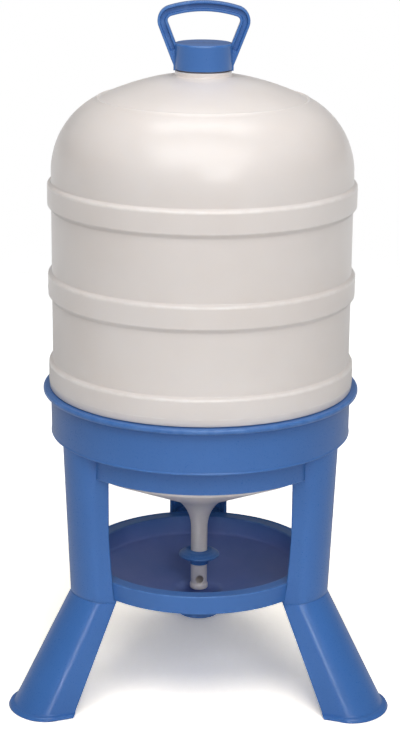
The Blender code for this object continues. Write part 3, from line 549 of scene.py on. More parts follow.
def plastic_material(name, colour, pale, dark, skin, roughness, scratch_size, evenness=1.0):
    """A moulded plastic with drifting tint, pale edges, grain and faint scratches."""
    material = bpy.data.materials.new(name)
    material.use_nodes = True
    tree = material.node_tree
    add, maths, ranged = node_tools(tree)
    shader = tree.nodes["Principled BSDF"]
    place = add("ShaderNodeTexCoord").outputs["Object"]
    edge = add("ShaderNodeAttribute", attribute_name="edge").outputs["Fac"]
    body = add("ShaderNodeGroup", {"Vector": place, **skin}, node_tree=SKIN)
    links = {"Vector": place, "Edge": edge, "Scratch size": scratch_size}
    marks = add("ShaderNodeGroup", links, node_tree=MARKS)
    scratches = marks.outputs["Scratches"]
    base = mixed(add, ranged(body.outputs["Tint"], 0.3, 0.7, 0.0, 0.5), colour, dark)
    worn = maths("MULTIPLY", marks.outputs["Rubbed"], EDGE_PALING)
    scuff = maths("MULTIPLY", scratches, SCRATCH_PALING * evenness)
    paling = maths("ADD", worn, scuff, use_clamp=True)
    tree.links.new(mixed(add, paling, base, pale), shader.inputs["Base Color"])
    grain = ranged(body.outputs["Grain"], 0.3, 0.7, roughness - 0.04 * evenness, roughness + 0.05 * evenness)
    scored = maths("MULTIPLY", scratches, SCRATCH_DULLNESS * evenness)
    tree.links.new(maths("ADD", grain, scored, use_clamp=True), shader.inputs["Roughness"])
    bump = add("ShaderNodeBump", {"Height": body.outputs["Height"], "Strength": 1.0, "Distance": 1.0})
    tree.links.new(bump.outputs[0], shader.inputs["Normal"])
    shader.inputs["IOR"].default_value = 1.49
    return material, shader


print("a screen grey of 128 is %.3f as a linear number" % srgb(128, 128, 128)[0])

# %% Blue plastic
BLUE = {
    "colour": srgb(57, 106, 173),
    "pale": srgb(92, 134, 192),
    "dark": srgb(53, 100, 165),
    "skin": {"Wave size": 0.06, "Wave height": 0.00006, "Grain size": 0.0011, "Grain height": 0.000004},
    "scratch_size": 0.05,
}
blue_plastic, _ = plastic_material("blue plastic", roughness=0.30, **BLUE)
print("blue plastic:", len(blue_plastic.node_tree.nodes), "nodes")

# %% [markdown]
# Where water stands and dries it leaves a thin grey film. The pan has the same blue plastic with
# that film laid over the faces that look up or towards the axis, inside the lip, and broken by noise.
# Its pale lavender is also painted light: it lightens and tints the pan's shaded inside.

# %% Plastic with a dried film and painted light
FILM_AND_PAINTED_LIGHT_RADIUS = 0.1185        # just outside the lip's inner edge
FILM_AND_PAINTED_LIGHT_FADE = 0.002
WELL_RADIUS = 0.0222
# painted light: besides a water film, this colour lightens and tints the pan's shaded inside
FILM_AND_PAINTED_LIGHT_COLOUR = srgb(166, 162, 214)
FILM_AND_PAINTED_LIGHT_SHARE = 0.36
FILM_DULLNESS = 0.14


def film_and_painted_light_material():
    material, shader = plastic_material("filmed blue plastic with painted light", roughness=0.36, **BLUE)
    tree = material.node_tree
    add, maths, ranged = node_tools(tree)
    place = add("ShaderNodeTexCoord").outputs["Object"]
    level = add("ShaderNodeVectorMath", {0: place, 1: (0.0, -AXIS_Y, 0.0)}, operation="ADD")
    level = add("ShaderNodeVectorMath", {0: level.outputs[0], 1: (1.0, 1.0, 0.0)}, operation="MULTIPLY")
    radius = add("ShaderNodeVectorMath", {0: level.outputs[0]}, operation="LENGTH")
    inside = ranged(radius.outputs["Value"], FILM_AND_PAINTED_LIGHT_RADIUS - FILM_AND_PAINTED_LIGHT_FADE, FILM_AND_PAINTED_LIGHT_RADIUS, 1.0, 0.0)
    normal = add("ShaderNodeNewGeometry").outputs["Normal"]
    upward = add("ShaderNodeSeparateXYZ", {0: normal}).outputs["Z"]
    outward = add("ShaderNodeVectorMath", {0: level.outputs[0], 1: normal}, operation="DOT_PRODUCT")
    facing = maths("MULTIPLY_ADD", outward.outputs["Value"], -1.0 / WELL_RADIUS, upward)
    film_and_painted_light_area = maths("MULTIPLY", inside, ranged(facing, 0.1, 0.5))
    cloud = ranged(noise(add, place, 26.0, 4.0), 0.3, 0.7, 0.7)
    film_and_painted_light = maths("MULTIPLY", film_and_painted_light_area, cloud)
    clean = shader.inputs["Base Color"].links[0].from_socket
    # painted light: the film's pale lavender lightens and tints the shaded inside of the pan
    shown = mixed(add, maths("MULTIPLY", film_and_painted_light, FILM_AND_PAINTED_LIGHT_SHARE), clean, FILM_AND_PAINTED_LIGHT_COLOUR)
    tree.links.new(shown, shader.inputs["Base Color"])
    smooth = shader.inputs["Roughness"].links[0].from_socket
    dulled = maths("MULTIPLY_ADD", film_and_painted_light, FILM_DULLNESS, smooth)
    tree.links.new(dulled, shader.inputs["Roughness"])
    return material


film_and_painted_light_plastic = film_and_painted_light_material()
print("filmed plastic with painted light:", len(film_and_painted_light_plastic.node_tree.nodes), "nodes")

# %% [markdown]
# ## Milky blow-moulded plastic
#
# The tank's wall was blown against a cool mould, so it is never quite even: highlights wander over
# it and thick places look a little warmer. The two halves of the mould leave a fine raised line up
# each side. That line is made in the bump from the distance to the plane through the axis, because
# the photograph's front shows none and the two sides can't be seen.

# %% Milky plastic
SEAM_WIDTH = 0.0006
SEAM_HEIGHT = 0.00022


def milky_material():
    material, shader = plastic_material(
        "milky plastic",
        colour=srgb(230, 221, 216),
        pale=srgb(239, 233, 229),
        dark=srgb(221, 210, 203),
        skin={"Wave size": 0.075, "Wave height": 0.0011, "Grain size": 0.009, "Grain height": 0.000006},
        roughness=0.34,
        scratch_size=0.03,
        evenness=0.2,
    )
    tree = material.node_tree
    add, maths, ranged = node_tools(tree)
    place = add("ShaderNodeTexCoord").outputs["Object"]
    depth = add("ShaderNodeSeparateXYZ", {0: place}).outputs["Y"]
    aside = maths("ABSOLUTE", maths("SUBTRACT", depth, AXIS_Y))
    seam = ranged(aside, 0.0, SEAM_WIDTH, SEAM_HEIGHT, 0.0, interpolation_type="SMOOTHSTEP")
    bump = shader.inputs["Normal"].links[0].from_node
    wall = bump.inputs["Height"].links[0].from_socket
    tree.links.new(maths("ADD", wall, seam), bump.inputs["Height"])
    shader.inputs["IOR"].default_value = 1.54
    shader.inputs["Subsurface Weight"].default_value = 0.5
    shader.inputs["Subsurface Radius"].default_value = (1.0, 0.9, 0.8)
    shader.inputs["Subsurface Scale"].default_value = 0.007
    shader.inputs["Coat Weight"].default_value = 0.2
    shader.inputs["Coat Roughness"].default_value = 0.24
    return material


milky_plastic = milky_material()
print("milky plastic:", len(milky_plastic.node_tree.nodes), "nodes")

# %% [markdown]
# ## Black rubber
#
# The seal only shows when the cap is unscrewed. Rubber is nearly black, dull, and slightly dusty.

# %% Black rubber
black_rubber, _ = plastic_material(
    "black rubber",
    colour=srgb(32, 32, 34),
    pale=srgb(70, 70, 72),
    dark=srgb(26, 26, 27),
    skin={"Wave size": 0.02, "Wave height": 0.00002, "Grain size": 0.0006, "Grain height": 0.00003},
    roughness=0.68,
    scratch_size=0.02,
)
print("black rubber:", len(black_rubber.node_tree.nodes), "nodes")

# %% [markdown]
# # The water tank
#
# The tank is one blow moulding: a drum with three bands, a dome with a crease, a filler neck, a
# funnel that sits down through the ring, and the outlet tube. Its outline is drawn from the tube's
# closed end up the outside, over the neck's mouth and down the inside, so the wall has its true
# thickness. The bands stand a few millimetres out and have soft edges, which catch the overhead light.
# The lowest one runs down into the tank's foot.

# %% Tank sizes
WALL = 0.0025
SEAT_Z = 0.2970
TANK_RADIUS = 0.1630
FOOT_RADIUS = 0.1605
BAND_RADIUS = 0.1672
BAND_HEIGHT = 0.0276
BAND_BOTTOMS = (0.3495, 0.4477, 0.5459)
LOWEST_BAND = [(FOOT_RADIUS, 0.3457, 0.001), (0.1664, 0.3460, 0.0007), (BAND_RADIUS, 0.3540, 0.0080)]
SHOULDER = (0.0762, 0.5830, 0.0868)   # centre radius, height and radius of the dome's arc
CREASE = (0.1128, 0.6617)
CROWN_RISE = 0.0235                   # from the crease up to the neck
CROWN_BEND = 1.55
NECK_FOOT_Z = 0.6852
NECK_COLLAR_TOP = 0.6908
NECK_COLLAR = 0.0302
NECK = 0.0258
NECK_BORE = 0.0230
NECK_TOP = 0.7142
FUNNEL_TOP = (0.1347, 0.2580)
TUBE = 0.0093
TUBE_WALL = 0.0015
TUBE_TOP = 0.1745
TUBE_END = 0.1013
TUBE_BEAD = TUBE + 0.0010
FLARE = (0.0345, 0.0405)              # width and height of the flare's ellipse
FLARE_END = math.radians(69.9)        # where the ellipse meets the straight funnel
HOLE_Z = 0.1142
HOLE_RADIUS = 0.0046
print("the tank is %.0f mm across its bands" % (2000 * BAND_RADIUS))


# %% Tank outline
def flare_points(steps):
    """The tube widens along part of an ellipse until it meets the straight funnel."""
    points = []
    for step in range(steps + 1):
        angle = FLARE_END * step / steps
        points.append((TUBE + FLARE[0] * (1 - math.cos(angle)), TUBE_TOP + FLARE[1] * math.sin(angle)))
    return points


def crown_points(steps):
    """The shallow crown from the dome's crease up to the neck."""
    points = []
    for step in range(1, steps + 1):
        share = step / steps
        radius = CREASE[0] + (NECK_COLLAR - CREASE[0]) * share
        height = CREASE[1] - 0.0005 * (1 - share) + CROWN_RISE * (1 - (1 - share) ** CROWN_BEND)
        points.append((radius, height))
    return points


def band(bottom):
    """One band: out from the wall or the foot, up, and in to the wall again."""
    if bottom == BAND_BOTTOMS[0]:
        points = LOWEST_BAND
    else:
        points = [(TANK_RADIUS, bottom - 0.0024, 0.0036), (BAND_RADIUS, bottom + 0.0022, 0.0026)]
    top = bottom + BAND_HEIGHT
    return points + [(BAND_RADIUS, top - 0.0026, 0.0036), (TANK_RADIUS, top + 0.0002, 0.0016)]


def tank_skin():
    """The outside, from the funnel's upper edge to the foot of the neck."""
    points = [(*FUNNEL_TOP, 0.0055), (FUNNEL_TOP[0], SEAT_Z, 0.002), (FOOT_RADIUS, SEAT_Z, 0.004)]
    for bottom in BAND_BOTTOMS:
        points += band(bottom)
    crease_angle = math.degrees(math.atan2(CREASE[1] - SHOULDER[1], CREASE[0] - SHOULDER[0]))
    points += arc(*SHOULDER, 0, crease_angle - 1.5, 22)
    points.append((CREASE[0] + 0.0006, CREASE[1] + 0.0006, 0.0012))
    points.append((CREASE[0] - 0.0022, CREASE[1] - 0.0006, 0.003))
    return points + crown_points(14)[1:-1] + [(NECK_COLLAR, NECK_FOOT_Z, 0.0022)]


tube_skin = [
    (0.0, TUBE_END), (TUBE_BEAD, TUBE_END, 0.0022), (TUBE_BEAD - 0.0001, 0.1068, 0.003),
    (TUBE, 0.1085, 0.003),
]
neck_skin = [
    (NECK_COLLAR, NECK_COLLAR_TOP, 0.0008), (NECK, NECK_COLLAR_TOP, 0.0008), (NECK, NECK_TOP, 0.0006),
    (NECK_BORE, NECK_TOP, 0.0006),
]
print("tank skin:", len(rounded(tank_skin())), "points from funnel to neck")


# %% [markdown]
# The inside is the same outline moved inwards by the wall's thickness. It is coarser, because it
# only shows through the neck.

# %% Tank inside
def moved_in(points, distance):
    """Moves an open outline to its left by a distance, with mitred corners."""
    moved = []
    for index, point in enumerate(points):
        here = Vector(point[:2])
        before = here - Vector(points[max(index - 1, 0)][:2])
        after = Vector(points[min(index + 1, len(points) - 1)][:2]) - here
        before = before if before.length > 0 else after
        after = after if after.length > 0 else before
        first = Vector((-before.y, before.x)).normalized()
        second = Vector((-after.y, after.x)).normalized()
        mitre = (first + second).normalized()
        here = here + mitre * distance / max(mitre.dot(first), 0.5)
        moved.append((max(here.x, 0.0), here.y))
    return moved


inside_body = moved_in(tank_skin(), WALL)[1:-1][::-1]
inside_flare = moved_in(flare_points(12), TUBE_WALL)[::-1]
inside_tube = [(TUBE - TUBE_WALL, TUBE_END + TUBE_WALL, 0.001), (0.0, TUBE_END + TUBE_WALL)]
tank_outline = tube_skin + flare_points(12) + tank_skin() + neck_skin
tank_outline += [(NECK_BORE, NECK_FOOT_Z - WALL)] + inside_body + inside_flare + inside_tube
tank_mesh = turned("tank", tank_outline, milky_plastic, steps=160)
print("tank wall:", len(tank_mesh.polygons), "faces")

# %% [markdown]
# ## The hole that sets the water level
#
# Water runs out of a round hole in the tube's side until it covers the hole. It is drilled with a
# Boolean. The drill is a turned shape too: it widens a little at the wall, so that the hole has the
# small countersink of a trimmed moulding.

# %% Outlet hole
HOLE_AZIMUTH = math.radians(5.0)      # the hole is turned a little to the right of the front
COUNTERSINK = 0.0009


def drill():
    """A round drill along the tube's radius, wider outside the wall."""
    wall = TUBE + 0.0003
    tip = wall + 0.006
    wide = HOLE_RADIUS + COUNTERSINK
    profile = [(0.0, 0.0), (HOLE_RADIUS, 0.0), (HOLE_RADIUS, wall - COUNTERSINK), (wide, wall)]
    profile += [(wide, tip), (0.0, tip)]
    mesh = turned("drill", profile, milky_plastic, steps=40, axis_y=0.0)
    turn = Matrix.Rotation(HOLE_AZIMUTH, 4, "Z") @ Matrix.Rotation(math.pi / 2, 4, "X")
    mesh.transform(TO_AXIS @ Matrix.Translation((0, 0, HOLE_Z)) @ turn)
    return add_object("drill", mesh)


tank_thing = combined(add_object("tank blank", tank_mesh), drill(), "DIFFERENCE")
print("after drilling:", len(tank_thing.data.polygons), "faces")

# %% [markdown]
# ## Threads
#
# The neck and the cap have a thread of 5 mm pitch, so one turn lifts the cap by 5 mm. A thread is a
# small section that follows a spiral, so a tree sweeps it: the spiral comes from the Spiral node, a
# four-cornered section runs along it, and it is scaled down towards both ends so that they taper.

# %% The thread tree
THREAD_PITCH = 0.005
THREAD_TURNS = 1.25
THREAD_WIDTH = 0.002
THREAD_RUN_OUT = 0.06       # the part of the thread's length that tapers at each end


def thread_tree():
    sizes = {"Radius": 0.02, "Pitch": THREAD_PITCH, "Turns": THREAD_TURNS}
    sizes.update({"Width": THREAD_WIDTH, "Depth": 0.003})
    inputs = [(label, NUMBER, value) for label, value in sizes.items()]
    tree, given, out = new_tree("screw thread", [*inputs, ("Material", MATERIAL, None)])
    add, maths, ranged = node_tools(tree)
    wanted = given.outputs
    links = {
        "Resolution": 48,
        "Rotations": wanted["Turns"],
        "Start Radius": wanted["Radius"],
        "End Radius": wanted["Radius"],
        "Height": maths("MULTIPLY", wanted["Pitch"], wanted["Turns"]),
    }
    spiral = add("GeometryNodeCurveSpiral", links)
    along = add("GeometryNodeSplineParameter").outputs["Factor"]
    near = maths("MINIMUM", along, maths("SUBTRACT", 1.0, along))
    taper = ranged(near, 0.0, THREAD_RUN_OUT, 0.15, 1.0)
    tapered = add("GeometryNodeSetCurveRadius", {"Curve": spiral.outputs[0], "Radius": taper})
    level = add("GeometryNodeSetCurveNormal", {"Curve": tapered.outputs[0]}, mode="Z_UP")
    links = {"Width": wanted["Depth"], "Height": wanted["Width"]}
    section = add("GeometryNodeCurvePrimitiveQuadrilateral", links)
    links = {"Curve": section.outputs[0], "Radius": 0.0005, "Count": 3}
    soft = add("GeometryNodeFilletCurve", links, mode="POLY")
    links = {"Curve": level.outputs[0], "Profile Curve": soft.outputs[0], "Scale": taper, "Fill Caps": True}
    ridge = add("GeometryNodeCurveToMesh", links)
    return end_tree(tree, add, ridge.outputs[0], given, out)


THREAD = thread_tree()


def thread(name, radius, depth, start_z, material):
    """A thread ridge about the axis, whose section is centred on a radius."""
    values = {"Radius": radius, "Depth": depth, "Material": material}
    mesh = grown(name, chain_mesh(name, [(0, 0, 0), (0, 0.001, 0)]), THREAD, values)
    mesh.transform(TO_AXIS @ Matrix.Translation((0, 0, start_z)))
    return finished(mesh)


neck_thread = thread("neck thread", NECK, 0.0030, 0.6977, milky_plastic)
print("neck thread:", len(neck_thread.polygons), "faces")

# %% Tank piece
tank_final = joined("tank", [tank_thing.data, neck_thread])
bpy.data.objects.remove(tank_thing, do_unlink=True)
piece("tank", tank_final, "water_tank", ["tank", "tank_funnel", "outlet_tube"])

# %% [markdown]
# # The screw cap and its carrying handle
#
# The cap is a cup with an internal thread, moulded in one with the handle. The handle's bar is an I
# section, two flanges and a thin web, which is what gives it the dark line along its middle. It
# follows a path, so a tree sweeps the section along it.

# %% The sweeping tree
def sweeping_tree():
    inputs = [("Section", "NodeSocketObject", None), ("Material", MATERIAL, None)]
    tree, given, out = new_tree("swept bar", inputs)
    add, _, _ = node_tools(tree)
    path = add("GeometryNodeMeshToCurve", {"Mesh": given.outputs["Geometry"]})
    links = {"Curve": path.outputs[0], "Normal": (0.0, 1.0, 0.0)}
    level = add("GeometryNodeSetCurveNormal", links, mode="FREE")
    shape = add("GeometryNodeObjectInfo", {"Object": given.outputs["Section"]})
    outline = add("GeometryNodeMeshToCurve", {"Mesh": shape.outputs["Geometry"]})
    links = {"Curve": level.outputs[0], "Profile Curve": outline.outputs[0], "Fill Caps": True}
    bar = add("GeometryNodeCurveToMesh", links)
    return end_tree(tree, add, bar.outputs[0], given, out)


SWEEPING = sweeping_tree()


def section_object(name, corners, steps=3):
    """A closed outline in the XY plane, for the sweeping tree."""
    points = rounded(corners, closed=True, steps=steps)
    mesh = chain_mesh(name, points, closed=True)
    mesh.transform(Matrix.Rotation(-math.pi / 2, 4, "X"))
    return add_object(name, mesh)


def swept(name, path, section, material):
    """A bar along a path from the XZ plane, moved to the tank's axis."""
    values = {"Section": section, "Material": material}
    mesh = grown(name, chain_mesh(name + " path", path), SWEEPING, values)
    mesh.transform(TO_AXIS)
    return finished(mesh)


print("sweeping tree:", len(SWEEPING.nodes), "nodes")

# %% Handle path
CAP_RADIUS = 0.0312
CAP_BORE = 0.0279
CAP_BOTTOM = 0.6923
CAP_TOP = 0.7197
HANDLE_TOP = 0.7639
BAR = 0.0108                          # the bar's depth along the handle's plane
HANDLE_CORNER_X = 0.0520
HANDLE_ARC = 0.1294                   # outer radius of the grip
HANDLE_CORNER = 0.0160                # outer radius of its two corners
HANDLE_LEAN = math.radians(21.3)
CHEEK_HEIGHTS = (0.7310, 0.7230, 0.7125, 0.7050)
GRIP_STEPS = 24
CORNER_STEPS = 12
EAR_POINTS = 5                        # points of the path that the solid ears follow


def handle_path():
    """Centre line of the bar in the XZ plane, from one ear over the top to the other."""
    big = HANDLE_ARC
    small = HANDLE_CORNER
    big_line = big - BAR / 2
    small_line = small - BAR / 2
    lean = HANDLE_LEAN
    arc_centre = HANDLE_TOP - big
    corner = math.asin(HANDLE_CORNER_X / big)
    setback = small * math.tan((math.pi / 2 + lean - corner) / 2)
    along = corner - setback / big
    top = []
    for step in range(GRIP_STEPS + 1):
        angle = along * (2 * step / GRIP_STEPS - 1)
        top.append((math.sin(angle) * big_line, arc_centre + math.cos(angle) * big_line, 0))
    centre_x = math.sin(along) * (big - small)
    centre_z = arc_centre + math.cos(along) * (big - small)
    right = []
    for step in range(1, CORNER_STEPS + 1):
        angle = along + (math.pi / 2 + lean - along) * step / CORNER_STEPS
        right.append((centre_x + math.sin(angle) * small_line, centre_z + math.cos(angle) * small_line, 0))
    x, z, _ = right[-1]
    ear_top = CAP_BOTTOM + 0.0050
    for height in CHEEK_HEIGHTS:
        right.append((x - (z - height) * math.tan(lean), height, 0))
    ear_x = x - (z - ear_top) * math.tan(lean)
    right += [(ear_x + 0.0003, ear_top + 0.0010, 0), (ear_x, ear_top - 0.0008, 0)]
    right.append((ear_x, CAP_BOTTOM - 0.0012, 0))
    left = [(-x, z, 0) for x, z, _ in right[::-1]]
    return left + top + right


def half_turned(corners):
    """Closes an outline with the same corners, turned half round."""
    return corners + [(-x, -y, rounding) for x, y, rounding in corners]


i_section = [
    (-0.0065, -0.0054, 0.0009), (0.0065, -0.0054, 0.0009), (0.0065, -0.0028, 0.0006),
    (0.0018, -0.0026, 0.0009), (0.0018, 0.0026, 0.0009), (0.0065, 0.0028, 0.0006),
]
bar_section = section_object("bar section", half_turned(i_section))
solid_section = [(-0.0064, -0.0053, 0.0009), (0.0064, -0.0053, 0.0009)]
ear_section = section_object("ear section", half_turned(solid_section))
path = handle_path()
handle_bar = swept("handle", path, bar_section, blue_plastic)
ear_right = swept("ear right", path[-EAR_POINTS:], ear_section, blue_plastic)
ear_left = swept("ear left", path[:EAR_POINTS], ear_section, blue_plastic)
print("handle: %d points along the path, %d faces" % (len(path), len(handle_bar.polygons)))

# %% [markdown]
# The recess in the bar ends where the bar meets the cap: below that the ears are solid. The handle is
# joined to the cap's solid body first, and then the bore is cut, so no part of the handle stands in
# the bore.

# %% Cap piece
bore_foot = CAP_BOTTOM - 0.004
bore_roof = CAP_TOP - 0.0030
cap_body = turned(
    "cap",
    [(0.0, CAP_BOTTOM), (CAP_RADIUS, CAP_BOTTOM, 0.0008), (CAP_RADIUS, CAP_TOP, 0.0019), (0.0, CAP_TOP)],
    blue_plastic,
    steps=96,
)
cap_thing = add_object("cap blank", cap_body)
for mesh in (handle_bar, ear_right, ear_left):
    combined(cap_thing, add_object("part of the handle", mesh), "UNION")
bore = turned(
    "bore",
    [(0.0, bore_foot), (CAP_BORE, bore_foot), (CAP_BORE, bore_roof), (0.0, bore_roof)],
    blue_plastic,
    steps=96,
)
combined(cap_thing, add_object("bore", bore), "DIFFERENCE")
cap_thread = thread("cap thread", 0.0277, 0.0026, 0.6952, blue_plastic)
cap_final = joined("filler_cap", [cap_thing.data, cap_thread])
for thing in (cap_thing, bar_section, ear_section):
    bpy.data.objects.remove(thing, do_unlink=True)
piece("filler_cap", cap_final, "cap", ["filler_cap"])

# %% [markdown]
# ## The seal
#
# A flat rubber ring in the roof of the cap. Without it air would leak in and the pan would overflow.

# %% Seal piece
SEAL_INNER = 0.0185
SEAL_OUTER = 0.0273
SEAL_BOTTOM = 0.7145
SEAL_TOP = 0.7164
seal_mesh = turned(
    "cap_seal",
    [
        (SEAL_INNER, 0.7154), (SEAL_INNER, SEAL_BOTTOM, 0.0004), (SEAL_OUTER, SEAL_BOTTOM, 0.0005),
        (SEAL_OUTER, SEAL_TOP, 0.0005), (SEAL_INNER, SEAL_TOP, 0.0004),
    ],
    black_rubber,
    steps=72,
    closed=True,
)
piece("cap_seal", seal_mesh, "seal", ["cap_seal"])

# %% [markdown]
# # The sliding collar
#
# A short blue sleeve on the outlet tube, with a flange to grip. Pushed down it covers the hole while
# the tank is filled. The flange droops towards a thick, round edge, so its outline is a bent strip.

# %% Collar piece
COLLAR_BORE = 0.0096
COLLAR_SLEEVE = 0.0108
COLLAR_BOTTOM = 0.1315
COLLAR_TOP = 0.1482
collar_mesh = turned(
    "valve_collar",
    [
        (COLLAR_BORE, 0.1380), (COLLAR_BORE, COLLAR_BOTTOM, 0.0003), (COLLAR_SLEEVE, COLLAR_BOTTOM, 0.0005),
        (COLLAR_SLEEVE, 0.1454, 0.0014), (0.0150, 0.1444, 0.003), (0.0192, 0.1425, 0.003),
        (0.0226, 0.1403, 0.0011), (0.0233, 0.1428, 0.0013), (0.0196, 0.1456, 0.004), (0.0150, 0.1475, 0.004),
        (0.0112, COLLAR_TOP, 0.002), (COLLAR_BORE, COLLAR_TOP, 0.0005),
    ],
    blue_plastic,
    steps=80,
    closed=True,
)
piece("valve_collar", collar_mesh, "collar", ["valve_collar"])

# %% [markdown]
# # The ring that holds the tank
#
# A deep ring with a rolled lip. Its ledge carries the tank's foot, and a narrower skirt hangs below
# the ledge. The wall's lower edge has a small bead.

# %% Ring piece
SKIRT_INNER = 0.1468
SKIRT_OUTER = 0.1500
SKIRT_BOTTOM = 0.2655
RING_BOTTOM = 0.2931
LEDGE = 0.2967
LIP_BOTTOM = 0.3393
LIP_TOP = 0.3453
LIP_OUTER = 0.1739
RING_HOLLOW = 0.1617
ring_mesh = turned(
    "stand_ring",
    [
        (SKIRT_INNER, 0.2800), (SKIRT_INNER, SKIRT_BOTTOM, 0.0010), (SKIRT_OUTER, SKIRT_BOTTOM, 0.0011),
        (SKIRT_OUTER, RING_BOTTOM, 0.0018), (0.1656, RING_BOTTOM, 0.0007), (0.1656, 0.2944, 0.0009),
        (0.1650, 0.2956, 0.0012), (0.1655, LIP_BOTTOM, 0.0014), (LIP_OUTER, LIP_BOTTOM, 0.0029),
        (LIP_OUTER, LIP_TOP, 0.0029), (RING_HOLLOW, LIP_TOP, 0.0020), (RING_HOLLOW, LEDGE, 0.0020),
        (SKIRT_INNER, LEDGE, 0.0010),
    ],
    blue_plastic,
    steps=160,
    closed=True,
)
piece("stand_ring", ring_mesh, "stand", ["stand_ring"])

# %% [markdown]
# # The drinking pan
#
# A dish with a flat lip, a skirt outside it and a sloping floor that drains to a central well. The
# lip has a low bead along its outer edge, which draws a second bright line beside the flat of the
# lip.

# %% Pan piece
WELL_BOTTOM = 0.0720
WELL_FLOOR = 0.0747
PAN_SKIRT_BOTTOM = 0.1232
BEAD_TOP = 0.1447
pan_mesh = turned(
    "drinking_pan",
    [
        (0.0, WELL_BOTTOM), (0.0240, WELL_BOTTOM, 0.0024), (0.0252, 0.0958, 0.0020),
        (0.11875, 0.1201, 0.004), (0.1215, 0.1414, 0.0015), (0.1308, 0.1414, 0.0012),
        (0.1287, PAN_SKIRT_BOTTOM, 0.0009), (0.1314, PAN_SKIRT_BOTTOM, 0.0009), (0.1341, BEAD_TOP, 0.0013),
        (0.1313, BEAD_TOP, 0.0012), (0.1303, 0.1440, 0.0010), (0.1178, 0.1441, 0.0018),
        (0.1166, 0.1228, 0.0032), (WELL_RADIUS, 0.0981, 0.0090), (WELL_RADIUS, WELL_FLOOR, 0.0022),
        (0.0, WELL_FLOOR),
    ],
    film_and_painted_light_plastic,
    steps=144,
)
piece("drinking_pan", pan_mesh, "stand", ["drinking_pan", "pan_well"])

# %% [markdown]
# # Columns and legs
#
# Each column is a channel that is open towards the axis: two flanks and a rounded nose. A leg has the
# same section, splays outwards from a tilted joint, and plugs into the column with a tongue. The
# section changes with height, so each piece is a loft: the section is worked out at several heights
# and skinned.

# %% Channel sections
NOSE_STEPS = 22
COLUMN_WALL = 0.0032
COLUMN_HALF = 0.0344
COLUMN_CORNER_HALF = 0.0317
COLUMN_TOP_Z = 0.2928
COLUMN_SPREAD_Z = 0.2085
JOINT_Z = 0.1237
JOINT_SLOPE = 0.15
NOSE_TOP = 0.1652
NOSE_JOINT = 0.1576
INNER_UPPER = 0.1328
INNER_LOWER = 0.1262
FLANK_DEPTH = 0.0135
FLANK_SPOTS = (0.0, 0.07, 0.15, 0.3, 1.0)
SPREAD_BEND = 1.6


def channel(inner, half, corner_half, flank, outer, inset, end_inset=0.0):
    """The U-shaped path of one wall face, as (sideways, outward), from end to end."""
    corner_out = inner + flank
    nose = outer - inset - corner_out
    side = []
    for spot in FLANK_SPOTS:
        outward = inner + end_inset + (flank - end_inset) * spot
        share = (outward - inner) / flank
        side.append((half - inset + (corner_half - half) * share, outward))
    path = [(-sideways, outward) for sideways, outward in side]
    for step in range(1, NOSE_STEPS):
        angle = math.pi * (1 - step / NOSE_STEPS)
        path.append(((corner_half - inset) * math.cos(angle), corner_out + nose * math.sin(angle)))
    return path + side[::-1]


def column_path(z, inset, end_inset=0.0):
    """The column's wall face at a height."""
    rise = (z - JOINT_Z) / (COLUMN_TOP_Z - JOINT_Z)
    outer = NOSE_JOINT + (NOSE_TOP - NOSE_JOINT) * rise
    spread = max(0.0, (COLUMN_SPREAD_Z - z) / (COLUMN_SPREAD_Z - JOINT_Z)) ** SPREAD_BEND
    inner = INNER_UPPER + (INNER_LOWER - INNER_UPPER) * spread
    flank = FLANK_DEPTH + INNER_UPPER - inner - (NOSE_TOP - outer)
    return channel(inner, COLUMN_HALF, COLUMN_CORNER_HALF, flank, outer, inset, end_inset)


def joint_height(outward):
    """Height of the tilted joint at a distance from the axis."""
    return JOINT_Z - JOINT_SLOPE * (NOSE_JOINT - outward)


def joint_path(inset, end_inset=0.0):
    """The column's wall face where the tilted joint cuts it, as (sideways, outward, z)."""
    placed = []
    for index, (sideways, outward) in enumerate(column_path(JOINT_Z, inset, end_inset)):
        for _ in range(3):
            sideways, outward = column_path(joint_height(outward), inset, end_inset)[index]
        placed.append((sideways, outward, joint_height(outward)))
    return placed


print("a section has", 2 * len(column_path(0.2, 0.0)), "points")

# %% [markdown]
# A section's two faces are joined at the channel's open ends by a small arc, so the ends are round
# like the rest of the moulding.

# %% Lofting
LOFT_SHARP_ANGLE = 40


def ring_of(outer_face, inner_face):
    """Closes two (sideways, outward, z) faces into one loop with rounded ends."""
    loop = list(outer_face)
    loop += end_arc(outer_face[-1], inner_face[-1])
    loop += list(inner_face)[::-1]
    loop += end_arc(inner_face[0], outer_face[0])
    return loop


def end_arc(start, end, steps=4):
    """Points of a half round between the ends of two faces, bulging towards the axis."""
    start = Vector(start)
    end = Vector(end)
    middle = (start + end) / 2
    reach = (end - start).length / 2
    points = []
    for step in range(1, steps):
        angle = math.pi * step / steps
        point = middle + (start - middle) * math.cos(angle)
        points.append((point.x, point.y - reach * math.sin(angle), point.z))
    return points


def lofted(name, loops, material):
    """Skins loops with the same number of points, closes both ends and marks no edges."""
    work = bmesh.new()
    rows = [[work.verts.new((outward, sideways, z)) for sideways, outward, z in loop] for loop in loops]
    count = len(rows[0])
    for lower, upper in zip(rows, rows[1:]):
        for index in range(count):
            following = (index + 1) % count
            work.faces.new((lower[index], lower[following], upper[following], upper[index]))
    for row in (rows[0], rows[-1]):
        half = count // 2
        for index in range(half):
            a, b = row[index], row[(index + 1) % count]
            c, d = row[(-index - 2) % count], row[(-index - 1) % count]
            corners = list(dict.fromkeys((a, b, c, d)))
            if len(corners) > 2 and index < half - 1:
                work.faces.new(corners)
    mesh = bpy.data.meshes.new(name)
    work.to_mesh(mesh)
    work.free()
    mesh.materials.append(material)
    return finished(mesh, LOFT_SHARP_ANGLE)


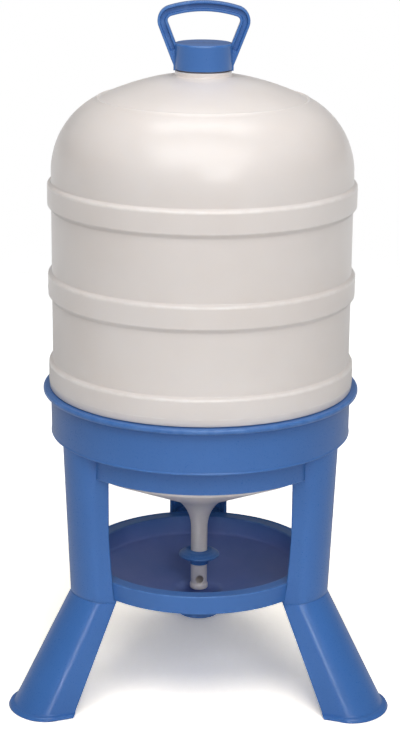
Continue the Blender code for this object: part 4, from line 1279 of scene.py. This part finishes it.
def at(path, z):
    """Puts a flat path at a height."""
    return [(sideways, outward, z) for sideways, outward in path]


def lifted(path, rise):
    """Moves a path up."""
    return [(sideways, outward, z + rise) for sideways, outward, z in path]


print("a section's open end is rounded by", len(end_arc((0, 0, 0), (0, COLUMN_WALL, 0))), "points")


# %% Column
END_ROUND = 0.0016
LOWEST_LEVEL = 0.1285
SPREAD_STEPS = 13
UPPER_LEVELS = (0.2200, 0.2400, 0.2600, 0.2800, COLUMN_TOP_Z)
FOOT_ROUNDING = ((0.0001, 0.0004), (0.0002, 0.00015), (0.0006, 0.0))   # (rise, shrink) above the joint


def column_loop(z, shrink=0.0):
    """The column's section at a height, as a closed loop."""
    insets = (shrink, COLUMN_WALL - shrink)
    return ring_of(*[at(column_path(z, inset, END_ROUND), z) for inset in insets])


def column_loops():
    """All sections of a column, from the tilted joint up to the ring."""
    loops = []
    for rise, shrink in FOOT_ROUNDING:
        outer_face = lifted(joint_path(shrink, END_ROUND), rise)
        inner_face = lifted(joint_path(COLUMN_WALL - shrink, END_ROUND), rise)
        loops.append(ring_of(outer_face, inner_face))
    for step in range(SPREAD_STEPS + 1):
        rise = (COLUMN_SPREAD_Z - LOWEST_LEVEL) * step / SPREAD_STEPS
        loops.append(column_loop(LOWEST_LEVEL + rise))
    for z in UPPER_LEVELS:
        loops.append(column_loop(z))
    loops.append(column_loop(COLUMN_TOP_Z + 0.0002, 0.0002))
    return loops


column_blank = add_object("column blank", lofted("column", column_loops(), blue_plastic))
print("column:", len(column_blank.data.polygons), "faces before it is cut back")

# %% [markdown]
# The column is cut back where the ring's skirt and the pan stand, just as the solid is. Then a tree
# turns it to its place. The three sides share that tree and differ only in their azimuth, which is
# safer than copying a mesh and turning each copy by hand.

# %% Cutting the column back
def keep_out(name, corners):
    """A solid about the axis that the column may not enter."""
    return add_object(name, turned(name, corners, blue_plastic, steps=144, axis_y=0.0))


ring_space = [(0.0, 0.2652), (0.1503, 0.2652), (0.1503, LIP_TOP), (0.0, LIP_TOP)]
pan_space = [(0.0, 0.05), (0.1317, 0.05), (0.1317, PAN_SKIRT_BOTTOM), (0.1344, 0.1430)]
pan_space += [(0.1344, 0.1450), (0.0, 0.1450)]
combined(column_blank, keep_out("ring space", ring_space), "DIFFERENCE")
combined(column_blank, keep_out("pan space", pan_space), "DIFFERENCE")
print("column:", len(column_blank.data.polygons), "faces")


# %% The side tree
def side_tree():
    inputs = [("Azimuth", NUMBER, 0.0), ("Axis Y", NUMBER, 0.0), ("Material", MATERIAL, None)]
    tree, given, out = new_tree("one side of the frame", inputs)
    add, _, _ = node_tools(tree)
    turn = add("ShaderNodeCombineXYZ", {2: given.outputs["Azimuth"]})
    shift = add("ShaderNodeCombineXYZ", {1: given.outputs["Axis Y"]})
    links = {"Rotation": turn.outputs[0], "Translation": shift.outputs[0]}
    side = add("GeometryNodeTransform", {"Geometry": given.outputs["Geometry"], **links})
    return end_tree(tree, add, side.outputs[0], given, out)


SIDE = side_tree()
print("side tree:", len(SIDE.nodes), "nodes")
SIDES = {"back": 90.0, "left": 210.0, "right": 330.0}


def placed_sides(kind, mesh):
    """Puts a copy of a mesh on each side of the frame, as a piece of its own."""
    for side, azimuth in SIDES.items():
        name = kind + "_" + side
        values = {"Azimuth": math.radians(azimuth), "Axis Y": AXIS_Y, "Material": blue_plastic}
        side_mesh = grown(name, mesh.copy(), SIDE, values)
        piece(name, side_mesh, "stand", [name])


placed_sides("column", column_blank.data)
bpy.data.objects.remove(column_blank, do_unlink=True)

# %% [markdown]
# ## Legs
#
# A leg starts under the tilted joint, a little wider than the column, and ends in a flat sole with a
# flange round its outside. The top of each flank is rounded off where it passes the column's end. The
# tongue stays hidden in the column, but it shows from inside, so it is there too.

# %% Leg sections
LEG_SPLAY = 0.596
LEG_INNER_TOP = 0.1231
LEG_INNER_FOOT = 0.1816
LEG_WALL = 0.0032
SOLE_SPREAD = (0.0073, 0.0066)  # how much wider the sole's flanks and corners are than the column's
SOLE_FLANK = 0.0207
FLANGE = 0.0042
TOP_CORNER = 0.0022
LEG_WIDER = 0.0003              # than the column at each flank's end
LUG_RISE = 0.0043               # inside the column's end the leg reaches up to the pan
LUG_SPOTS = 2                   # the flank spots that are raised for it


def leg_top(inset, end_inset=0.0):
    """The leg's wall face under the joint. Its flanks reach further in than the column's."""
    placed = []
    last = len(FLANK_SPOTS) - 1
    path = joint_path(inset)
    for index, (sideways, outward, z) in enumerate(path):
        spot = min(index, len(path) - 1 - index)
        if spot < last:
            corner = path[last if index <= last else -1 - last]
            start = LEG_INNER_TOP + end_inset
            outward = start + (corner[1] - start) * FLANK_SPOTS[spot]
            share = (corner[1] - outward) / (corner[1] - LEG_INNER_TOP)
            half = COLUMN_HALF + LEG_WIDER - inset
            sideways = math.copysign(abs(corner[0]) + (half - abs(corner[0])) * share, sideways)
            z = joint_height(outward) + (LUG_RISE if spot < LUG_SPOTS else 0.0)
        inside = max(0.0, LEG_INNER_TOP + TOP_CORNER - outward)
        z -= TOP_CORNER - math.sqrt(max(0.0, TOP_CORNER**2 - inside**2))
        placed.append((sideways, outward, z))
    return placed


def leg_foot(inset, end_inset=0.0):
    """The leg's wall face at the floor."""
    outer = NOSE_JOINT + LEG_SPLAY * JOINT_Z
    half = COLUMN_HALF + SOLE_SPREAD[0]
    corner_half = COLUMN_CORNER_HALF + SOLE_SPREAD[1]
    return at(channel(LEG_INNER_FOOT, half, corner_half, SOLE_FLANK, outer, inset, end_inset), 0.0)


def leg_face(z, inset, end_inset=0.0):
    """The leg's wall face at one height above the floor."""
    face = []
    for start, end in zip(leg_top(inset, end_inset), leg_foot(inset, end_inset)):
        share = (start[2] - z) / start[2]
        face.append(tuple(a + (b - a) * share for a, b in zip(start, end)))
    return face


def leg_share(share, inset, end_inset=0.0):
    """The leg's wall face part of the way down, from the tilted joint to the floor."""
    pairs = zip(leg_top(inset, end_inset), leg_foot(inset, end_inset))
    return [tuple(a + (b - a) * share for a, b in zip(start, end)) for start, end in pairs]


print("a sole is %.1f mm wide without its flange" % (2000 * (COLUMN_HALF + SOLE_SPREAD[0])))


# %% Leg loops
SOLE_PROFILE = (                # (height, how far out) round the sole and its flange
    (0.0, FLANGE - 0.0007), (0.0007, FLANGE), (0.0032, FLANGE), (0.0041, FLANGE - 0.0003),
    (0.0046, FLANGE - 0.0011), (0.0046, 0.0008), (0.0048, 0.0003), (0.0053, 0.0),
)
TIP_FLANGE = 0.0008             # the flange is only this wide at the two open ends
LEG_LEVELS = (0.94, 0.88, 0.8, 0.7, 0.6, 0.5, 0.4, 0.3, 0.2, 0.12, 0.06, 0.02, 0.009)
LEG_TOP_ROUNDING = ((0.003, 0.0001), (0.0010, 0.0002), (0.0, 0.0005))   # (share, shrink)
TONGUE_PROFILE = ((0.1120, 0.0), (0.1300, 0.0), (0.1425, 0.0), (0.1434, 0.0003), (0.1437, 0.0009))
TONGUE_GAP = 0.0004
TONGUE_WALL = 0.0028
TONGUE_END = 0.0083


def leg_loops():
    """All sections of a leg, from the sole up to the tilted joint."""
    end = END_ROUND
    loops = []
    for z, out_by in SOLE_PROFILE:
        face = leg_face(z, -out_by, end)
        tips = leg_face(z, -min(out_by, TIP_FLANGE), end)
        face = tips[:1] + face[1:-1] + tips[-1:]
        loops.append(ring_of(face, leg_face(z, LEG_WALL, end)))
    for share in LEG_LEVELS:
        loops.append(ring_of(leg_share(share, 0.0, end), leg_share(share, LEG_WALL, end)))
    for share, shrink in LEG_TOP_ROUNDING:
        loops.append(ring_of(leg_share(share, shrink, end), leg_share(share, LEG_WALL - shrink, end)))
    return loops


def tongue_loops():
    """All sections of the tongue that plugs into the column."""
    outer = COLUMN_WALL + TONGUE_GAP
    inner = outer + TONGUE_WALL
    loops = []
    for z, shrink in TONGUE_PROFILE:
        insets = (outer + shrink, inner - shrink)
        loops.append(ring_of(*[at(column_path(z, inset, TONGUE_END), z) for inset in insets]))
    return loops


leg_mesh = joined(
    "leg", [lofted("leg", leg_loops(), blue_plastic), lofted("tongue", tongue_loops(), blue_plastic)]
)
placed_sides("leg", leg_mesh)

# %% [markdown]
# # Studio
#
# The photograph has a pure white surround and one soft grey shadow under the frame. The floor is a
# pale disc that fades out at its rim. A white surround must not light the object, so the world is
# white for rays from the camera and, below the horizon, for reflections, but dim for the light that
# it gives. The floor's extra brightness is seen by the camera alone. Near the drinker that brightness
# is lower and a little warm: painted shade, which deepens the shadow under the frame and cancels the
# blue tint that the frame gives the light in its shadow.

# %% World
SKY = 0.27                          # the world's strength where it lights the drinker
WHITE = (1.0, 1.0, 1.0, 1.0)


def build_world():
    """White where the camera looks, white below the horizon in reflections, and dim for the rest."""
    world = bpy.data.worlds.new("studio")
    bpy.context.scene.world = world
    world.use_nodes = True
    tree = world.node_tree
    add, maths, ranged = node_tools(tree)
    background = tree.nodes["Background"]
    rays = add("ShaderNodeLightPath")
    seen = maths("MAXIMUM", rays.outputs["Is Camera Ray"], rays.outputs["Is Transmission Ray"])
    way = add("ShaderNodeTexCoord").outputs["Generated"]
    height = add("ShaderNodeSeparateXYZ", {0: way}).outputs["Z"]
    mirrored = maths("MULTIPLY", rays.outputs["Is Glossy Ray"], ranged(height, -0.02, 0.06, 1.0, 0.0))
    strength = ranged(maths("MAXIMUM", seen, mirrored), 0.0, 1.0, SKY, 1.0)
    tree.links.new(strength, background.inputs["Strength"])
    background.inputs["Color"].default_value = WHITE


build_world()
print("world: white to the camera, %.2f as a light" % SKY)


# %% Floor
FLOOR_RADIUS = 2.3
FLOOR_DROP = 0.0004                 # keeps the soles from sharing the floor's plane
FLOOR_COLOUR = (0.88, 0.88, 0.88, 1.0)
# painted shade: near the drinker the camera's gain is lower and warmer, so the shadow there reads darker
SHADOW_GAIN = (2.16, 2.02, 1.80, 1.0)
OPEN_GAIN = (2.8, 2.8, 2.8, 1.0)
FLOOR_GLOW = (0.05, 0.05, 0.05, 1.0)


def floor_material():
    """White where it is lit, grey in the shadow, darker and warmer near the drinker as painted shade, and
    gone at the rim.
    """
    material = bpy.data.materials.new("studio floor")
    material.use_nodes = True
    tree = material.node_tree
    tree.nodes.clear()
    add, _, ranged = node_tools(tree)
    seen = add("ShaderNodeLightPath").outputs["Is Camera Ray"]
    place = add("ShaderNodeTexCoord").outputs["Object"]
    away = add("ShaderNodeVectorMath", {0: place}, operation="LENGTH").outputs["Value"]
    gain = mixed(add, ranged(away, 0.3, 0.7), SHADOW_GAIN, OPEN_GAIN)
    matt = add("ShaderNodeBsdfDiffuse", {"Color": mixed(add, seen, FLOOR_COLOUR, gain)})
    glow = add("ShaderNodeEmission", {"Strength": seen, "Color": FLOOR_GLOW})
    lit = add("ShaderNodeAddShader", {0: matt.outputs[0], 1: glow.outputs[0]})
    fade = ranged(away, 1.0, 2.2, interpolation_type="SMOOTHSTEP")
    clear = add("ShaderNodeBsdfTransparent")
    mix = add("ShaderNodeMixShader", {0: fade, 1: lit.outputs[0], 2: clear.outputs[0]})
    add("ShaderNodeOutputMaterial", {"Surface": mix.outputs[0]})
    return material


floor_mesh = bpy.data.meshes.new("floor")
work = bmesh.new()
bmesh.ops.create_circle(work, cap_ends=True, segments=96, radius=FLOOR_RADIUS)
work.to_mesh(floor_mesh)
work.free()
floor_mesh.materials.append(floor_material())
floor = add_object("floor", floor_mesh)
floor.location.z = -FLOOR_DROP
floor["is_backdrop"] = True
print("floor radius %.1f m" % FLOOR_RADIUS)

# %% [markdown]
# A wide softbox hangs straight over the drinker, for the highlight on the dome and the bright line
# on each band. The main softbox is high in front and near, so that the tank's wall gets darker
# downwards as in the photograph. A lower one, to the right, reaches through the front window into the
# pan. The last is gridded: it sends a narrow, weak beam on to the pan and the outlet tube.

# %% Lamps
def softbox(name, place, target, width, height, radiance, spread=180):
    """A rectangular lamp whose strength is given for its surface, whatever its size."""
    data = bpy.data.lights.new(name, "AREA")
    data.shape = "RECTANGLE"
    data.size = width
    data.size_y = height
    data.energy = radiance * math.pi * width * height
    data.spread = math.radians(spread)
    lamp = bpy.data.objects.new(name, data)
    bpy.context.scene.collection.objects.link(lamp)
    place = Vector(place)
    looking = (Vector(target) - place).to_track_quat("-Z", "Y").to_matrix().to_4x4()
    lamp.matrix_world = Matrix.Translation(place) @ looking
    print("%s: %.1f W" % (name, data.energy))


def aimed_softbox(name, azimuth, elevation, distance, width, height, radiance, aim=0.35, spread=180):
    """A softbox whose azimuth is counted from the front, to the right, about the tank's axis."""
    turn = math.radians(azimuth)
    rise = math.radians(elevation)
    target = Vector((0, AXIS_Y, aim))
    way = Vector((math.sin(turn) * math.cos(rise), -math.cos(turn) * math.cos(rise), math.sin(rise)))
    softbox(name, target + way * distance, target, width, height, radiance, spread)


softbox("overhead", (0.0, AXIS_Y + 0.05, 2.15), (0.0, AXIS_Y, 0.6), width=1.4, height=0.45, radiance=3.9)
aimed_softbox("main front", 0, 52, distance=1.75, width=1.9, height=0.9, radiance=3.15)
aimed_softbox("low front", 13, 26, distance=2.7, width=1.2, height=0.8, radiance=4.8)
aimed_softbox(
    "gridded low front", -3, 9, distance=2.7, width=0.9, height=0.25, radiance=0.22, aim=0.13, spread=14
)

bpy.context.scene.view_settings.view_transform = "Standard"

# %% [markdown]
# The size
#
# The visual model must keep the size of the engineering model, so both boxes are printed.

# %% Sizes
new_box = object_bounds()
for label, box in (("CAD", cad_box), ("visual", new_box)):
    print(label, [[round(value, 4) for value in corner] for corner in box])
